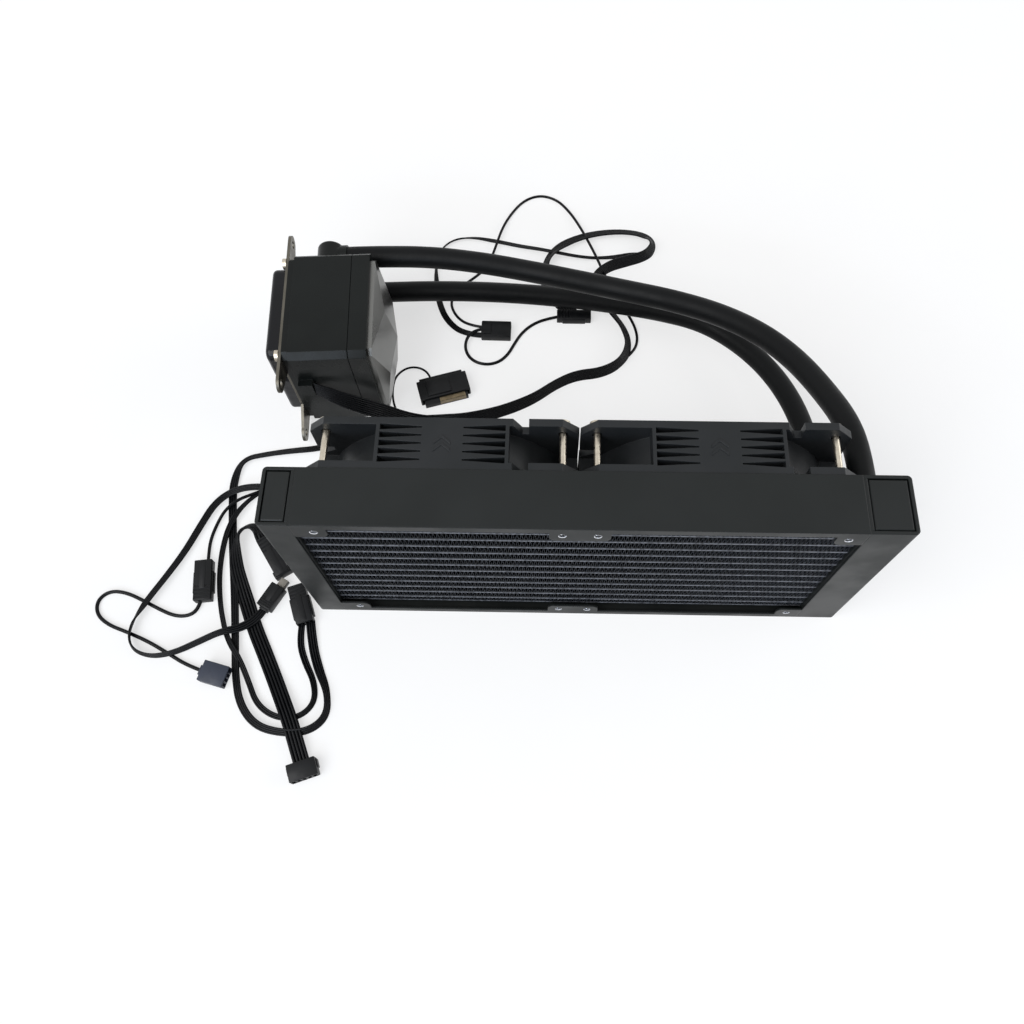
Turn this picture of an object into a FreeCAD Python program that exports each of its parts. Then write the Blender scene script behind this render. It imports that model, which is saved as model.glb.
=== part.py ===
"""All in one liquid cooler for a processor: radiator, two fans, pump block, hoses and cables.

Millimetres, +Z up. The radiator stands on its long edge with its bare fin side towards -Y.
The origin is the middle of that edge, halfway between the two fans, on the surface it stands on.
"""
import FreeCAD
import Part
import math
import os
import Sketcher
from FreeCAD import Placement, Rotation, Vector

doc = FreeCAD.newDocument("liquid_cooler")

SIZES = (
    ("rad_depth", 27, "radiator, front to back"),
    ("fan_inset", 0.3, "fan frame inside the radiator's outline"),
    ("core_margin", 1.2, "fins past the two fans"),
    ("core_shift", -1.1, "middle of the core from the middle of the fans"),
    ("core_recess", 3.4, "fins behind the lips"),
    ("return_tank_width", 13.8, "end tank without hoses"),
    ("inlet_tank_width", 20.3, "end tank with hoses"),
    ("tank_wall", 1.5, "wall of both tanks"),
    ("tank_round", 2, "outer edge of both tanks"),
    ("cap_thick", 3, "end cap let into a tank"),
    ("cap_groove", 0.5, "groove round an end cap"),
    ("header_thick", 1.5, "plate the tubes pass through"),
    ("tube_count", 12, "flat tubes"),
    ("tube_thick", 1.9, "flat tube"),
    ("tube_reach", 2.5, "flat tube past the inner face of a header"),
    ("slot_play", 0.1, "header slot round a tube"),
    ("fin_pitch", 9.6, "one wave of a fin strip"),
    ("fin_thick", 0.35, "fin strip metal"),
    ("fin_play", 0.05, "fin crest to tube"),
    ("outer_fin_height", 3.885, "fin row outside the last tube"),
    ("guard_thick", 0.8, "plate over the outer fin row"),
    ("guard_gap", 8, "room for the screws between a side plate and its guard"),
    ("sheet_thick", 1.1, "folded side plate metal"),
    ("lip_width", 4.2, "folded lip"),
    ("tab_width", 12.6, "lip at the screw tabs"),
    ("tab_reach", 5.6, "tab past its hole"),
    ("tab_round", 3.5, "corner of a tab"),
    ("hole_inset", 7.2, "fan screw from the fan's outline"),
    ("fan_gap", 0.6, "between the two fans"),
    ("thread_play", 0.1, "threaded hole in a lip round the screw"),
    ("case_hole_radius", 1.8, "threaded hole in a lip of the bare side"),
    ("fan_size", 119.4, "fan frame, side to side"),
    ("fan_depth", 25, "fan frame, front to back"),
    ("flange_thick", 3.6, "fan frame flange"),
    ("flange_chamfer", 7.5, "corner of a flange"),
    ("bore_edge", 2.5, "air duct to the fan's outline"),
    ("duct_wall", 1.9, "air duct"),
    ("side_block_half", 29, "half length of the louvred side block"),
    ("side_panel_half", 9, "half length of the plain panel in it"),
    ("slot_count", 5, "louvre slots on each side of the panel"),
    ("slat_thick", 1.0, "slat between two slots"),
    ("slot_tip_height", 0.7, "slot at its narrow end"),
    ("block_wall", 1.6, "end wall of the side block"),
    ("block_rim", 3.2, "side block beyond the slots"),
    ("notch_start", 30.5, "flange notch"),
    ("notch_end", 37.5, "flange notch"),
    ("notch_depth", 7.5, "flange notch"),
    ("notch_slope", 3, "slanted end of the flange notch"),
    ("fan_hole_play", 0.65, "screw hole through the fan round the screw"),
    ("strut_width", 5, "strut from the duct to the motor disc"),
    ("mount_thick", 3.2, "motor disc and struts"),
    ("bearing_tube_wall", 1.15, "tube that holds the bearing"),
    ("bearing_tube_length", 13, "tube that holds the bearing"),
    ("bearing_radius", 3.2, "bearing sleeve"),
    ("bearing_inset", 0.5, "bearing sleeve inside the ends of its tube"),
    ("fan_shaft_radius", 1.5, "fan shaft"),
    ("running_play", 0.04, "shaft in its bearing"),
    ("seat_play", 0.05, "part in its seat"),
    ("fan_hub_radius", 20, "rotor hub"),
    ("fan_hub_start", 1.2, "hub face behind the fan's front"),
    ("hub_gap", 3.1, "rotor hub to the disc that carries the motor"),
    ("fan_hub_wall", 1.6, "rotor hub"),
    ("blade_count", 9, "fan blades"),
    ("blade_tip_play", 1.2, "blade tip to duct"),
    ("blade_thick", 1.5, "fan blade"),
    ("blade_front", 2.6, "leading edge behind the fan's front"),
    ("blade_gap", 3.6, "trailing edge to the struts"),
    ("root_lead", 6.5, "leading edge from the blade's middle, at the root"),
    ("root_trail", 4, "trailing edge from the blade's middle, at the root"),
    ("root_camber", 1, "hollow of the blade at the root"),
    ("mid_lead", 14, "leading edge halfway out"),
    ("mid_trail", 10, "trailing edge halfway out"),
    ("mid_camber", 2.6, "hollow of the blade halfway out"),
    ("tip_lead", 19, "leading edge at the tip"),
    ("tip_trail", 17, "trailing edge at the tip"),
    ("tip_camber", 4, "hollow of the blade at the tip"),
    ("stator_gap", 2.9, "fan stator inside the hub"),
    ("pole_gap", 3, "slot between two stator poles, from the rim and the bearing"),
    ("stator_depth", 9, "fan stator"),
    ("fan_screw_radius", 1.5, "long screw"),
    ("fan_screw_grip", 3, "screw beyond the lip's outer face"),
    ("fan_screw_head_radius", 3.2, "pan head"),
    ("fan_screw_head_height", 2.2, "pan head"),
    ("fan_screw_drive_radius", 1.2, "socket in the head"),
    ("barb_inset", 10.2, "hose stubs from the core's end"),
    ("barb_spread", 32, "hose stubs from the radiator's middle height"),
    ("barb_length", 5, "hose stub"),
    ("barb_radius", 6.8, "hose stub collar"),
    ("hose_radius", 6, "both hoses"),
    ("hose_bore", 3, "water way in the fittings"),
    ("pump_x", -156.3, "middle of the pump's underside plane"),
    ("pump_y", 135, "middle of the pump's underside plane"),
    ("pump_yaw", 3.3, "pump axis from +X, degrees"),
    ("pump_size", 68, "pump block across"),
    ("pump_chamfer", 3.3, "long edges of the pump block"),
    ("base_thick", 3.3, "lower part of the block"),
    ("base_inset", 1.2, "lower part inside the housing's outline"),
    ("housing_top", 34.6, "housing ends here along the pump axis"),
    ("seam_gap", 0.4, "groove between housing and front ring"),
    ("seam_depth", 0.7, "groove between housing and front ring"),
    ("ring_length", 9.6, "front ring along the pump axis"),
    ("housing_wall", 3, "housing and ring"),
    ("chamber_step", 2, "impeller chamber inside the stator's outline"),
    ("chamber_depth", 8.5, "impeller chamber above the base"),
    ("floor_thick", 2, "wall between chamber and motor"),
    ("can_radius", 10, "can round the magnet, outside"),
    ("can_wall", 1, "can round the magnet"),
    ("can_length", 15, "can above the chamber"),
    ("magnet_gap", 0.8, "magnet inside its can"),
    ("impeller_gap", 3, "impeller disc inside its chamber"),
    ("impeller_count", 7, "impeller vanes"),
    ("impeller_play", 0.6, "impeller above the base"),
    ("impeller_disc", 2, "impeller disc"),
    ("vane_height", 3, "impeller vane"),
    ("vane_root", 4, "impeller vane starts here"),
    ("vane_bend", 9, "impeller vane bends here"),
    ("pump_shaft_radius", 1.5, "fixed shaft"),
    ("stator_margin", 10, "pump stator inside the housing's wall"),
    ("stator_seat", 0.3, "pump stator above its floor"),
    ("stator_headroom", 2.5, "pump stator below the seam"),
    ("board_thick", 1.6, "light board"),
    ("board_recess", 4.6, "front of the light board below the front ring"),
    ("lamp_inset", 6, "lamp from the board's edge"),
    ("lamp_half", 2, "lamp, half width"),
    ("lamp_height", 1, "lamp"),
    ("lens_inset", 2.8, "faceted cap inside the ring's outline"),
    ("lens_corner", 3, "corner of the faceted cap"),
    ("lens_rim", 2.5, "straight rim of the faceted cap"),
    ("lens_rise", 8.4, "peak of the faceted cap above its rim"),
    ("facet_depth", 7.2, "side facets from the cap's edge inwards"),
    ("plate_inset", 6.5, "copper cold plate inside the pump's outline"),
    ("plate_thick", 3.6, "copper cold plate"),
    ("plate_screw_inset", 4, "screw seat from the plate's edge"),
    ("plate_screw_radius", 2.2, "screw seat in the plate"),
    ("plate_screw_depth", 1.2, "screw seat in the plate"),
    ("cover_gap", 1.5, "clear cover round the cold plate"),
    ("cover_depth", 8.2, "clear cover beyond the bracket"),
    ("cover_wall", 0.8, "clear cover"),
    ("cover_round", 5, "corners of the clear cover"),
    ("bracket_thick", 1.6, "steel bracket"),
    ("ear_reach", 13, "bracket holes beyond the frame round the plate"),
    ("bracket_hole_radius", 2.1, "bracket hole"),
    ("ear_radius", 5, "end of a bracket ear"),
    ("bracket_play", 0.2, "bracket round the cold plate"),
    ("frame_width", 4.3, "bracket frame round the cold plate"),
    ("stud_head_radius", 3, "bracket screw head"),
    ("stud_head_height", 2, "bracket screw head"),
    ("stud_inset", 2.3, "bracket screws from the frame's edge"),
    ("elbow_x", 19, "swivel elbows along the pump axis"),
    ("elbow_edge", 17.5, "swivel elbows from the pump's edges"),
    ("elbow_out", 9.5, "hose line from the pump's side"),
    ("elbow_radius", 7.6, "swivel elbow"),
    ("elbow_reach", 10, "elbow stub towards the hose"),
    ("elbow_cap", 7, "elbow beyond its hose line"),
    ("elbow_step", 1.2, "elbow stub inside the elbow's outline"),
    ("collar_length", 4, "collar on the elbow's stub"),
    ("collar_step", 0.7, "collar inside the elbow's outline"),
    ("boss_height", 2.2, "raised pad under the elbows"),
    ("boss_margin", 4, "raised pad past the elbows, along the pump"),
    ("boss_end", 3, "raised pad past the elbows, at its ends"),
    ("gland_start", 1, "cable gland from the lower part"),
    ("gland_length", 7.7, "cable gland along the pump"),
    ("gland_height", 4, "cable gland out of the pump's side"),
    ("gland_half", 5, "cable gland, half width"),
    ("gland_rise", 7, "cable gland above the pump's middle height"),
)

sheet = doc.addObject("Spreadsheet::Sheet", "Sizes")
for row, (alias, number, note) in enumerate(SIZES, start=1):
    sheet.set(f"A{row}", alias)
    sheet.set(f"B{row}", str(number))
    sheet.setAlias(f"B{row}", alias)
    sheet.set(f"C{row}", note)
doc.recompute()


class Dim:
    """A size that keeps its number together with the sheet expression that gives it."""

    def __init__(self, text, number):
        self.text = text
        self.number = float(number)

    @staticmethod
    def of(item):
        if isinstance(item, Dim):
            return item
        return Dim(f"({float(item)!r})", item)

    def joined(self, other, mark, number):
        return Dim(f"({self.text} {mark} {other.text})", number)

    def __add__(self, other):
        other = Dim.of(other)
        return self.joined(other, "+", self.number + other.number)

    def __sub__(self, other):
        other = Dim.of(other)
        return self.joined(other, "-", self.number - other.number)

    def __mul__(self, other):
        other = Dim.of(other)
        return self.joined(other, "*", self.number * other.number)

    def __truediv__(self, other):
        other = Dim.of(other)
        return self.joined(other, "/", self.number / other.number)

    def __radd__(self, other):
        return Dim.of(other) + self

    def __rsub__(self, other):
        return Dim.of(other) - self

    def __rmul__(self, other):
        return Dim.of(other) * self

    def __neg__(self):
        return Dim.of(0) - self

    def __float__(self):
        return self.number


class Sheet:
    """Every size of the sheet by its alias."""

    def __init__(self, rows):
        for alias, _number, _note in rows:
            setattr(self, alias, Dim(f"Sizes.{alias}", sheet.get(alias)))


S = Sheet(SIZES)
half_depth = S.rad_depth / 2
rad_height = S.fan_size + S.fan_inset * 2
middle_z = rad_height / 2
fan_half = S.fan_size / 2
fan_pitch = S.fan_size + S.fan_gap
fan_bore_radius = fan_half - S.bore_edge
hole_spread = fan_half - S.hole_inset
hole_near = fan_pitch / 2 - hole_spread
hole_far = fan_pitch / 2 + hole_spread
hole_edge = middle_z - hole_spread
lip_hole_radius = S.fan_screw_radius + S.thread_play
core_length = fan_pitch * 2 + S.core_margin
core_left = S.core_shift - core_length / 2
core_right = S.core_shift + core_length / 2
core_half_depth = half_depth - S.core_recess
tube_margin = S.sheet_thick + S.guard_gap + S.guard_thick + S.outer_fin_height
tube_pitch = (rad_height - tube_margin * 2 - S.tube_thick) / (S.tube_count - 1)
pump_half = S.pump_size / 2
elbow_spread = pump_half - S.elbow_edge

parts = []


def keep(item, label):
    """Gives a finished sub-part its name and puts it on the list to be written."""
    item.Label = label
    parts.append(item)
    return item


def bind(item, prop, dim):
    """Ties a property to the sheet."""
    item.setExpression(prop, Dim.of(dim).text)


def place(item, x=0, y=0, z=0):
    """Ties the position of a piece to the sheet."""
    for letter, dim in zip("xyz", (x, y, z)):
        bind(item, f"Placement.Base.{letter}", dim)


def pump_place(item):
    """Moves a piece that is built along +X onto the axis of the pump block."""
    place(item, S.pump_x, S.pump_y, pump_half)
    bind(item, "Placement.Rotation.Angle", S.pump_yaw)
    item.Placement.Rotation.Axis = Vector(0, 0, 1)


NORMAL_SIGN = {"XY_Plane": 1, "XZ_Plane": -1, "YZ_Plane": 1}


class Piece:
    """A body with short names for the features that the cooler's parts need."""

    def __init__(self, name):
        self.body = doc.addObject("PartDesign::Body", name)
        self.name = name
        self.made = 0

    def origin(self, role):
        return [item for item in self.body.Origin.OriginFeatures if item.Role == role][0]

    def sketch(self, role, level, loops=(), circles=()):
        """Draws closed outlines and circles on a plane at a level along its axis."""
        self.made += 1
        plan = self.body.newObject("Sketcher::SketchObject", f"{self.name}_plan{self.made}")
        plan.AttachmentSupport = [(self.origin(role), "")]
        plan.MapMode = "FlatFace"
        bind(plan, "AttachmentOffset.Base.z", Dim.of(level) * NORMAL_SIGN[role])
        for loop in loops:
            self.outline(plan, [(Dim.of(a), Dim.of(b)) for a, b in loop])
        for a, b, radius in circles:
            self.circle(plan, Dim.of(a), Dim.of(b), Dim.of(radius))
        return plan

    def pin(self, plan, geometry, point, a, b):
        """Fixes a point of a sketch by two sizes."""
        for kind, axis, dim in (("DistanceX", -2, a), ("DistanceY", -1, b)):
            if abs(dim.number) < 1e-9:
                plan.addConstraint(Sketcher.Constraint("PointOnObject", geometry, point, axis))
            else:
                rule = Sketcher.Constraint(kind, -1, 1, geometry, point, dim.number)
                bind(plan, f"Constraints[{plan.addConstraint(rule)}]", dim)

    def outline(self, plan, loop):
        spots = [Vector(a.number, b.number, 0) for a, b in loop]
        first = plan.GeometryCount
        for start, end in zip(spots, spots[1:] + spots[:1]):
            plan.addGeometry(Part.LineSegment(start, end), False)
        for step, (a, b) in enumerate(loop):
            before = first + (step - 1) % len(loop)
            plan.addConstraint(Sketcher.Constraint("Coincident", before, 2, first + step, 1))
            self.pin(plan, first + step, 1, a, b)

    def circle(self, plan, a, b, radius):
        ring = Part.Circle(Vector(a.number, b.number, 0), Vector(0, 0, 1), radius.number)
        geometry = plan.addGeometry(ring, False)
        self.pin(plan, geometry, 3, a, b)
        rule = Sketcher.Constraint("Radius", geometry, radius.number)
        bind(plan, f"Constraints[{plan.addConstraint(rule)}]", radius)

    def feature(self, kind, plan):
        self.made += 1
        item = self.body.newObject(f"PartDesign::{kind}", f"{self.name}_{kind.lower()}{self.made}")
        item.Profile = plan
        plan.Visibility = False
        return item

    def pad(self, role, start, length, loops=(), circles=()):
        """Adds material from start onwards along the plane's axis."""
        item = self.feature("Pad", self.sketch(role, start, loops, circles))
        bind(item, "Length", length)
        item.Reversed = NORMAL_SIGN[role] < 0
        return item

    def cut(self, role, start, length, loops=(), circles=()):
        """Removes material from start onwards along the plane's axis."""
        item = self.feature("Pocket", self.sketch(role, start, loops, circles))
        bind(item, "Length", length)
        item.Reversed = NORMAL_SIGN[role] > 0
        return item

    def polar(self, features, axis, count):
        """Repeats features round an axis."""
        self.made += 1
        item = self.body.newObject("PartDesign::PolarPattern", f"{self.name}_pattern{self.made}")
        item.Originals = features
        item.Axis = (self.origin(axis), [""])
        item.Angle = 360
        bind(item, "Occurrences", count)
        self.body.Tip = item
        return item

    def dress(self, kind, size, chosen):
        """Rounds or chamfers the edges that a test chooses."""
        doc.recompute()
        base = self.body.Tip
        names = [f"Edge{n}" for n, edge in enumerate(base.Shape.Edges, start=1) if chosen(edge)]
        self.made += 1
        item = self.body.newObject(f"PartDesign::{kind}", f"{self.name}_{kind.lower()}{self.made}")
        item.Base = (base, names)
        bind(item, "Radius" if kind == "Fillet" else "Size", size)
        return item


def along(edge, direction):
    """True for a straight edge in a direction."""
    if len(edge.Vertexes) != 2:
        return False
    way = edge.Vertexes[1].Point - edge.Vertexes[0].Point
    return way.Length > 1e-6 and abs(abs(way.normalize() * direction) - 1) < 1e-6


def near(value, dim, slack=0.01):
    """True where a coordinate is at a size."""
    return abs(value - float(dim)) < slack


def rectangle(a0, a1, b0, b1):
    """The corners of an upright rectangle."""
    return [(a0, b0), (a1, b0), (a1, b1), (a0, b1)]


def square(half, corner):
    """The corners of a square with cut corners."""
    far = half
    close = half - corner
    return [(far, -close), (far, close), (close, far), (-close, far),
            (-far, close), (-far, -close), (-close, -far), (close, -far)]


def box(name, x, y, z):
    """A block between pairs of sizes."""
    item = doc.addObject("Part::Box", name)
    for prop, letter, (low, high) in zip(("Length", "Width", "Height"), "xyz", (x, y, z)):
        bind(item, prop, Dim.of(high) - low)
        bind(item, f"Placement.Base.{letter}", low)
    return item


def rod(name, radius, length, x, z, y):
    """A round bar along +Y from a point."""
    item = doc.addObject("Part::Cylinder", name)
    item.Placement.Rotation = Rotation(Vector(1, 0, 0), -90)
    bind(item, "Radius", radius)
    bind(item, "Height", length)
    place(item, x, y, z)
    return item


def group(label, items):
    """Puts like pieces in one node, each its own solid."""
    item = doc.addObject("Part::Compound", label)
    item.Links = items
    return keep(item, label)


# Radiator: folded side plates
def side_plate(label, upper):
    """A folded channel with lips on both faces that widen to tabs at the screw holes."""
    piece = Piece(label)
    outer = half_depth
    piece.pad("XY_Plane", -S.sheet_thick, S.sheet_thick, [rectangle(core_left, core_right, -outer, outer)])
    lip = -S.lip_width
    tab = -S.tab_width
    far_edge = hole_far - S.tab_reach
    near_edge = hole_near + S.tab_reach
    outline = [
        (core_left, 0), (core_left, tab), (-far_edge, tab), (-far_edge, lip),
        (-near_edge, lip), (-near_edge, tab), (near_edge, tab), (near_edge, lip),
        (far_edge, lip), (far_edge, tab), (core_right, tab), (core_right, 0),
    ]
    for start in (-outer, outer - S.sheet_thick):
        piece.pad("XZ_Plane", start, S.sheet_thick, [outline])
    # The lower plate is turned over, so its bare side faces the other way here
    radii = [S.case_hole_radius, lip_hole_radius]
    if not upper:
        radii.reverse()
    for start, radius in zip((-outer, outer - S.sheet_thick), radii):
        holes = [(x, -hole_edge, radius) for x in (-hole_far, -hole_near, hole_near, hole_far)]
        piece.cut("XZ_Plane", start, S.sheet_thick, circles=holes)

    def tab_corner(edge):
        spot = edge.Vertexes[0].Point
        if not along(edge, Vector(0, 1, 0)) or not near(spot.z, tab):
            return False
        return near(abs(spot.x), far_edge) or near(abs(spot.x), near_edge)

    piece.dress("Fillet", S.tab_round, tab_corner)
    if upper:
        place(piece.body, z=rad_height)
    else:
        piece.body.Placement.Rotation = Rotation(Vector(1, 0, 0), 180)
    return keep(piece.body, label)


side_plate("side_plate_upper", True)
side_plate("side_plate_lower", False)


# Radiator: end tanks, their caps and header plates
def tank(label, inner, outer, side):
    """A folded tank, open to the core; side is +1 for the right end and -1 for the left."""
    piece = Piece(label)
    wall = S.tank_wall
    back = outer - wall * side
    inside = half_depth - wall
    piece.pad("XY_Plane", 0, rad_height, [[
        (inner, -half_depth), (outer, -half_depth), (outer, half_depth), (inner, half_depth),
        (inner, inside), (back, inside), (back, -inside), (inner, -inside),
    ]])
    piece.dress("Fillet", S.tank_round, lambda edge: along(edge, Vector(0, 0, 1))
                and near(edge.Vertexes[0].Point.x, outer))
    return piece


return_outer = core_left - S.return_tank_width
inlet_outer = core_right + S.inlet_tank_width
keep(tank("return_tank", core_left, return_outer, -1).body, "return_tank")

inlet = tank("inlet_tank", core_right, inlet_outer, 1)
barb_x = core_right + S.barb_inset
barb_upper = middle_z + S.barb_spread
barb_lower = middle_z - S.barb_spread
barbs = ((barb_x, barb_upper), (barb_x, barb_lower))
inlet.pad("XZ_Plane", half_depth, S.barb_length, circles=[(x, z, S.barb_radius) for x, z in barbs])
inlet.cut("XZ_Plane", half_depth - S.tank_wall, S.barb_length + S.tank_wall,
          circles=[(x, z, S.hose_bore) for x, z in barbs])
inlet.dress("Chamfer", S.tank_wall / 2, lambda edge: edge.Curve.TypeId == "Part::GeomCircle"
            and near(edge.Curve.Radius, S.barb_radius)
            and near(edge.Vertexes[0].Point.y, half_depth + S.barb_length))
keep(inlet.body, "inlet_tank")


def end_cap(name, low, high, bottom):
    """A cap let into the open end of a tank, with a groove round it."""
    inside = half_depth - S.tank_wall - S.cap_groove
    blank = box(name + "_blank", (low, high), (-inside, inside), (bottom, bottom + S.cap_thick))
    doc.recompute()
    item = doc.addObject("Part::Chamfer", name)
    item.Base = blank
    flat_edges = [n for n, edge in enumerate(blank.Shape.Edges, start=1)
                  if abs(edge.CenterOfMass.z - blank.Shape.CenterOfMass.z) > float(S.cap_thick) / 4]
    item.Edges = [(n, float(S.cap_groove), float(S.cap_groove)) for n in flat_edges]
    return item


caps = []
for end, low, high in (
    ("left", return_outer + S.tank_wall + S.cap_groove, core_left - S.header_thick - S.cap_groove),
    ("right", core_right + S.header_thick + S.cap_groove, inlet_outer - S.tank_wall - S.cap_groove),
):
    caps.append(end_cap(f"cap_{end}_top", low, high, rad_height - S.cap_thick))
    caps.append(end_cap(f"cap_{end}_bottom", low, high, Dim.of(0)))
group("tank_end_caps", caps)


def tube_height(step):
    """The middle height of a flat tube."""
    return middle_z + (step - (S.tube_count.number - 1) / 2) * tube_pitch


tube_steps = range(int(S.tube_count.number))


def header_plate(label, low):
    """The plate between a tank and the core, with a slot for each tube."""
    piece = Piece(label)
    inside = half_depth - S.tank_wall - S.seat_play
    piece.pad("YZ_Plane", low, S.header_thick, [rectangle(-inside, inside, Dim.of(0), rad_height)])
    reach = core_half_depth + S.slot_play
    rise = S.tube_thick / 2 + S.slot_play
    slots = [rectangle(-reach, reach, tube_height(n) - rise, tube_height(n) + rise) for n in tube_steps]
    piece.cut("YZ_Plane", low, S.header_thick, slots)
    return keep(piece.body, label)


header_plate("header_plate_left", core_left - S.header_thick)
header_plate("header_plate_right", core_right)

# Radiator: flat tubes with rounded edges, guards and fin strips
TUBE_FLAT = 0.02


def flat_tube(name, middle):
    """A flat tube at a height, with its long edges rounded until they almost meet."""
    reach = S.header_thick + S.tube_reach
    low = middle - S.tube_thick / 2
    blank = box(name + "_blank", (core_left - reach, core_right + reach),
                (-core_half_depth, core_half_depth), (low, low + S.tube_thick))
    doc.recompute()
    item = doc.addObject("Part::Fillet", name)
    item.Base = blank
    rounding = float(S.tube_thick) / 2 - TUBE_FLAT
    item.Edges = [(n, rounding, rounding) for n, edge in enumerate(blank.Shape.Edges, start=1)
                  if along(edge, Vector(1, 0, 0))]
    return item


group("flat_tubes", [flat_tube(f"tube_{n}", tube_height(n)) for n in tube_steps])

half_stack = tube_pitch * ((S.tube_count.number - 1) / 2)
outer_tube_face = half_stack + S.tube_thick / 2
guard_low = middle_z + outer_tube_face + S.outer_fin_height
guards = []
for name, low in (("guard_top", guard_low), ("guard_bottom", 2 * middle_z - guard_low - S.guard_thick)):
    guards.append(box(name, (core_left, core_right), (-core_half_depth, core_half_depth),
                      (low, low + S.guard_thick)))
group("core_guards", guards)


CREST_SHARE = 0.12


def fin_strip(low, high):
    """A corrugated strip between two heights, folded in even waves along the core."""
    waves = int(float(core_length) / float(S.fin_pitch))
    pitch = float(core_length) / waves
    start = float(core_left)
    flat = float(S.fin_pitch) * CREST_SHARE
    thick = float(S.fin_thick)
    bottom = float(low) + float(S.fin_play)
    top = float(high) - float(S.fin_play)
    lower_side = []
    upper_side = []
    for wave in range(waves):
        x = start + wave * pitch
        middle = x + pitch / 2
        lower_side += [(x, bottom), (x + flat, bottom), (middle - flat, top - thick),
                       (middle + flat, top - thick), (x + pitch - flat, bottom)]
        upper_side += [(x, bottom + thick), (x + flat - thick, bottom + thick), (middle - flat - thick, top),
                       (middle + flat + thick, top), (x + pitch - flat + thick, bottom + thick)]
    lower_side.append((start + waves * pitch, bottom))
    upper_side.append((start + waves * pitch, bottom + thick))
    corners = []
    for x, z in lower_side + upper_side[::-1]:
        spot = Vector(x, -float(core_half_depth), z)
        if not corners or (spot - corners[-1]).Length > 1e-6:
            corners.append(spot)
    face = Part.Face(Part.makePolygon(corners + corners[:1]))
    return face.extrude(Vector(0, 2 * float(core_half_depth), 0))


strip_shapes = []
for n in tube_steps[:-1]:
    strip_shapes.append(fin_strip(tube_height(n) + S.tube_thick / 2, tube_height(n + 1) - S.tube_thick / 2))
strip_shapes.append(fin_strip(middle_z + outer_tube_face, guard_low))
strip_shapes.append(fin_strip(2 * middle_z - guard_low, middle_z - outer_tube_face))
fins = doc.addObject("Part::Feature", "fin_strips")
fins.Shape = Part.makeCompound(strip_shapes)
keep(fins, "fin_strips")


# Fans: frame, rotor, shaft, bearing and stator, built round the Y axis with the radiator side at zero
bearing_tube_radius = S.bearing_radius + S.seat_play + S.bearing_tube_wall
BLADE_STEPS = 4
BLADE_EDGE = 0.35
BLADE_START = 0.15


def fan_frame(label, x):
    """Two flanges joined by a duct and four louvred side blocks, with struts to a motor disc."""
    piece = Piece(label)
    depth = S.fan_depth
    flange = square(fan_half, S.flange_chamfer)
    piece.pad("XZ_Plane", 0, S.flange_thick, [flange])
    piece.pad("XZ_Plane", depth - S.flange_thick, S.flange_thick, [flange])
    duct_radius = fan_bore_radius + S.duct_wall
    block_half = S.side_block_half
    deep = fan_half - block_half
    block = piece.pad("XZ_Plane", 0, depth, [rectangle(-block_half, block_half, deep, fan_half)])
    rim = S.block_rim
    count = int(S.slot_count.number)
    slot_height = (depth - rim * 2 - S.slat_thick * (count - 1)) / count
    loops = []
    for n in range(count):
        centre = rim + slot_height / 2 + (slot_height + S.slat_thick) * n
        for side in (-1, 1):
            wide = (block_half - S.block_wall) * side
            tip = S.side_panel_half * side
            loops.append([(wide, centre - slot_height / 2), (wide, centre + slot_height / 2),
                          (tip, centre + S.slot_tip_height / 2), (tip, centre - S.slot_tip_height / 2)])
    slots = piece.cut("XY_Plane", deep, block_half, loops)
    notch = piece.cut("XZ_Plane", 0, depth, [[
        (S.notch_start, fan_half + 1), (S.notch_start, fan_half),
        (S.notch_end - S.notch_slope, fan_half - S.notch_depth),
        (S.notch_end, fan_half - S.notch_depth), (S.notch_end, fan_half + 1)]])
    piece.polar([block, slots, notch], "Y_Axis", 4)
    piece.pad("XZ_Plane", 0, depth, circles=[(0, 0, duct_radius)])
    piece.cut("XZ_Plane", 0, depth, circles=[(0, 0, fan_bore_radius)])
    screw_hole = S.fan_screw_radius + S.fan_hole_play
    piece.cut("XZ_Plane", 0, depth, circles=[
        (a, b, screw_hole) for a in (-hole_spread, hole_spread) for b in (-hole_spread, hole_spread)])
    back = depth - S.mount_thick
    piece.pad("XZ_Plane", back, S.mount_thick, circles=[(0, 0, S.fan_hub_radius)])
    strut = piece.pad("XZ_Plane", back, S.mount_thick,
                      [rectangle(S.fan_hub_radius - S.mount_thick / 2, fan_bore_radius + S.duct_wall / 2,
                                 -S.strut_width / 2, S.strut_width / 2)])
    piece.polar([strut], "Y_Axis", 4)
    piece.pad("XZ_Plane", back - S.bearing_tube_length, S.bearing_tube_length,
              circles=[(0, 0, bearing_tube_radius)])
    piece.cut("XZ_Plane", back - S.bearing_tube_length, S.bearing_tube_length,
              circles=[(0, 0, S.bearing_radius + S.seat_play)])
    place(piece.body, x, half_depth, middle_z)
    return keep(piece.body, label)


def blade_section(radius, lead, trail, camber):
    """A thin curved section: corners along the lower side, then back along the upper side."""
    front = float(S.blade_front)
    back = float(S.fan_depth - S.mount_thick - S.blade_gap)
    half = float(S.blade_thick) / 2
    lower = []
    upper = []
    for n in range(BLADE_STEPS + 1):
        part = n / BLADE_STEPS
        y = front + (back - front) * part
        z = -float(lead) + float(lead + trail) * part - float(camber) * math.sin(math.pi * part)
        swell = math.sin(math.pi * (BLADE_START + (1 - 2 * BLADE_START) * part))
        body = half * (BLADE_EDGE + (1 - BLADE_EDGE) * swell)
        lower.append(Vector(radius, y, z - body))
        upper.append(Vector(radius, y, z + body))
    corners = lower + upper[::-1]
    return Part.makePolygon(corners + corners[:1])


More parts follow.
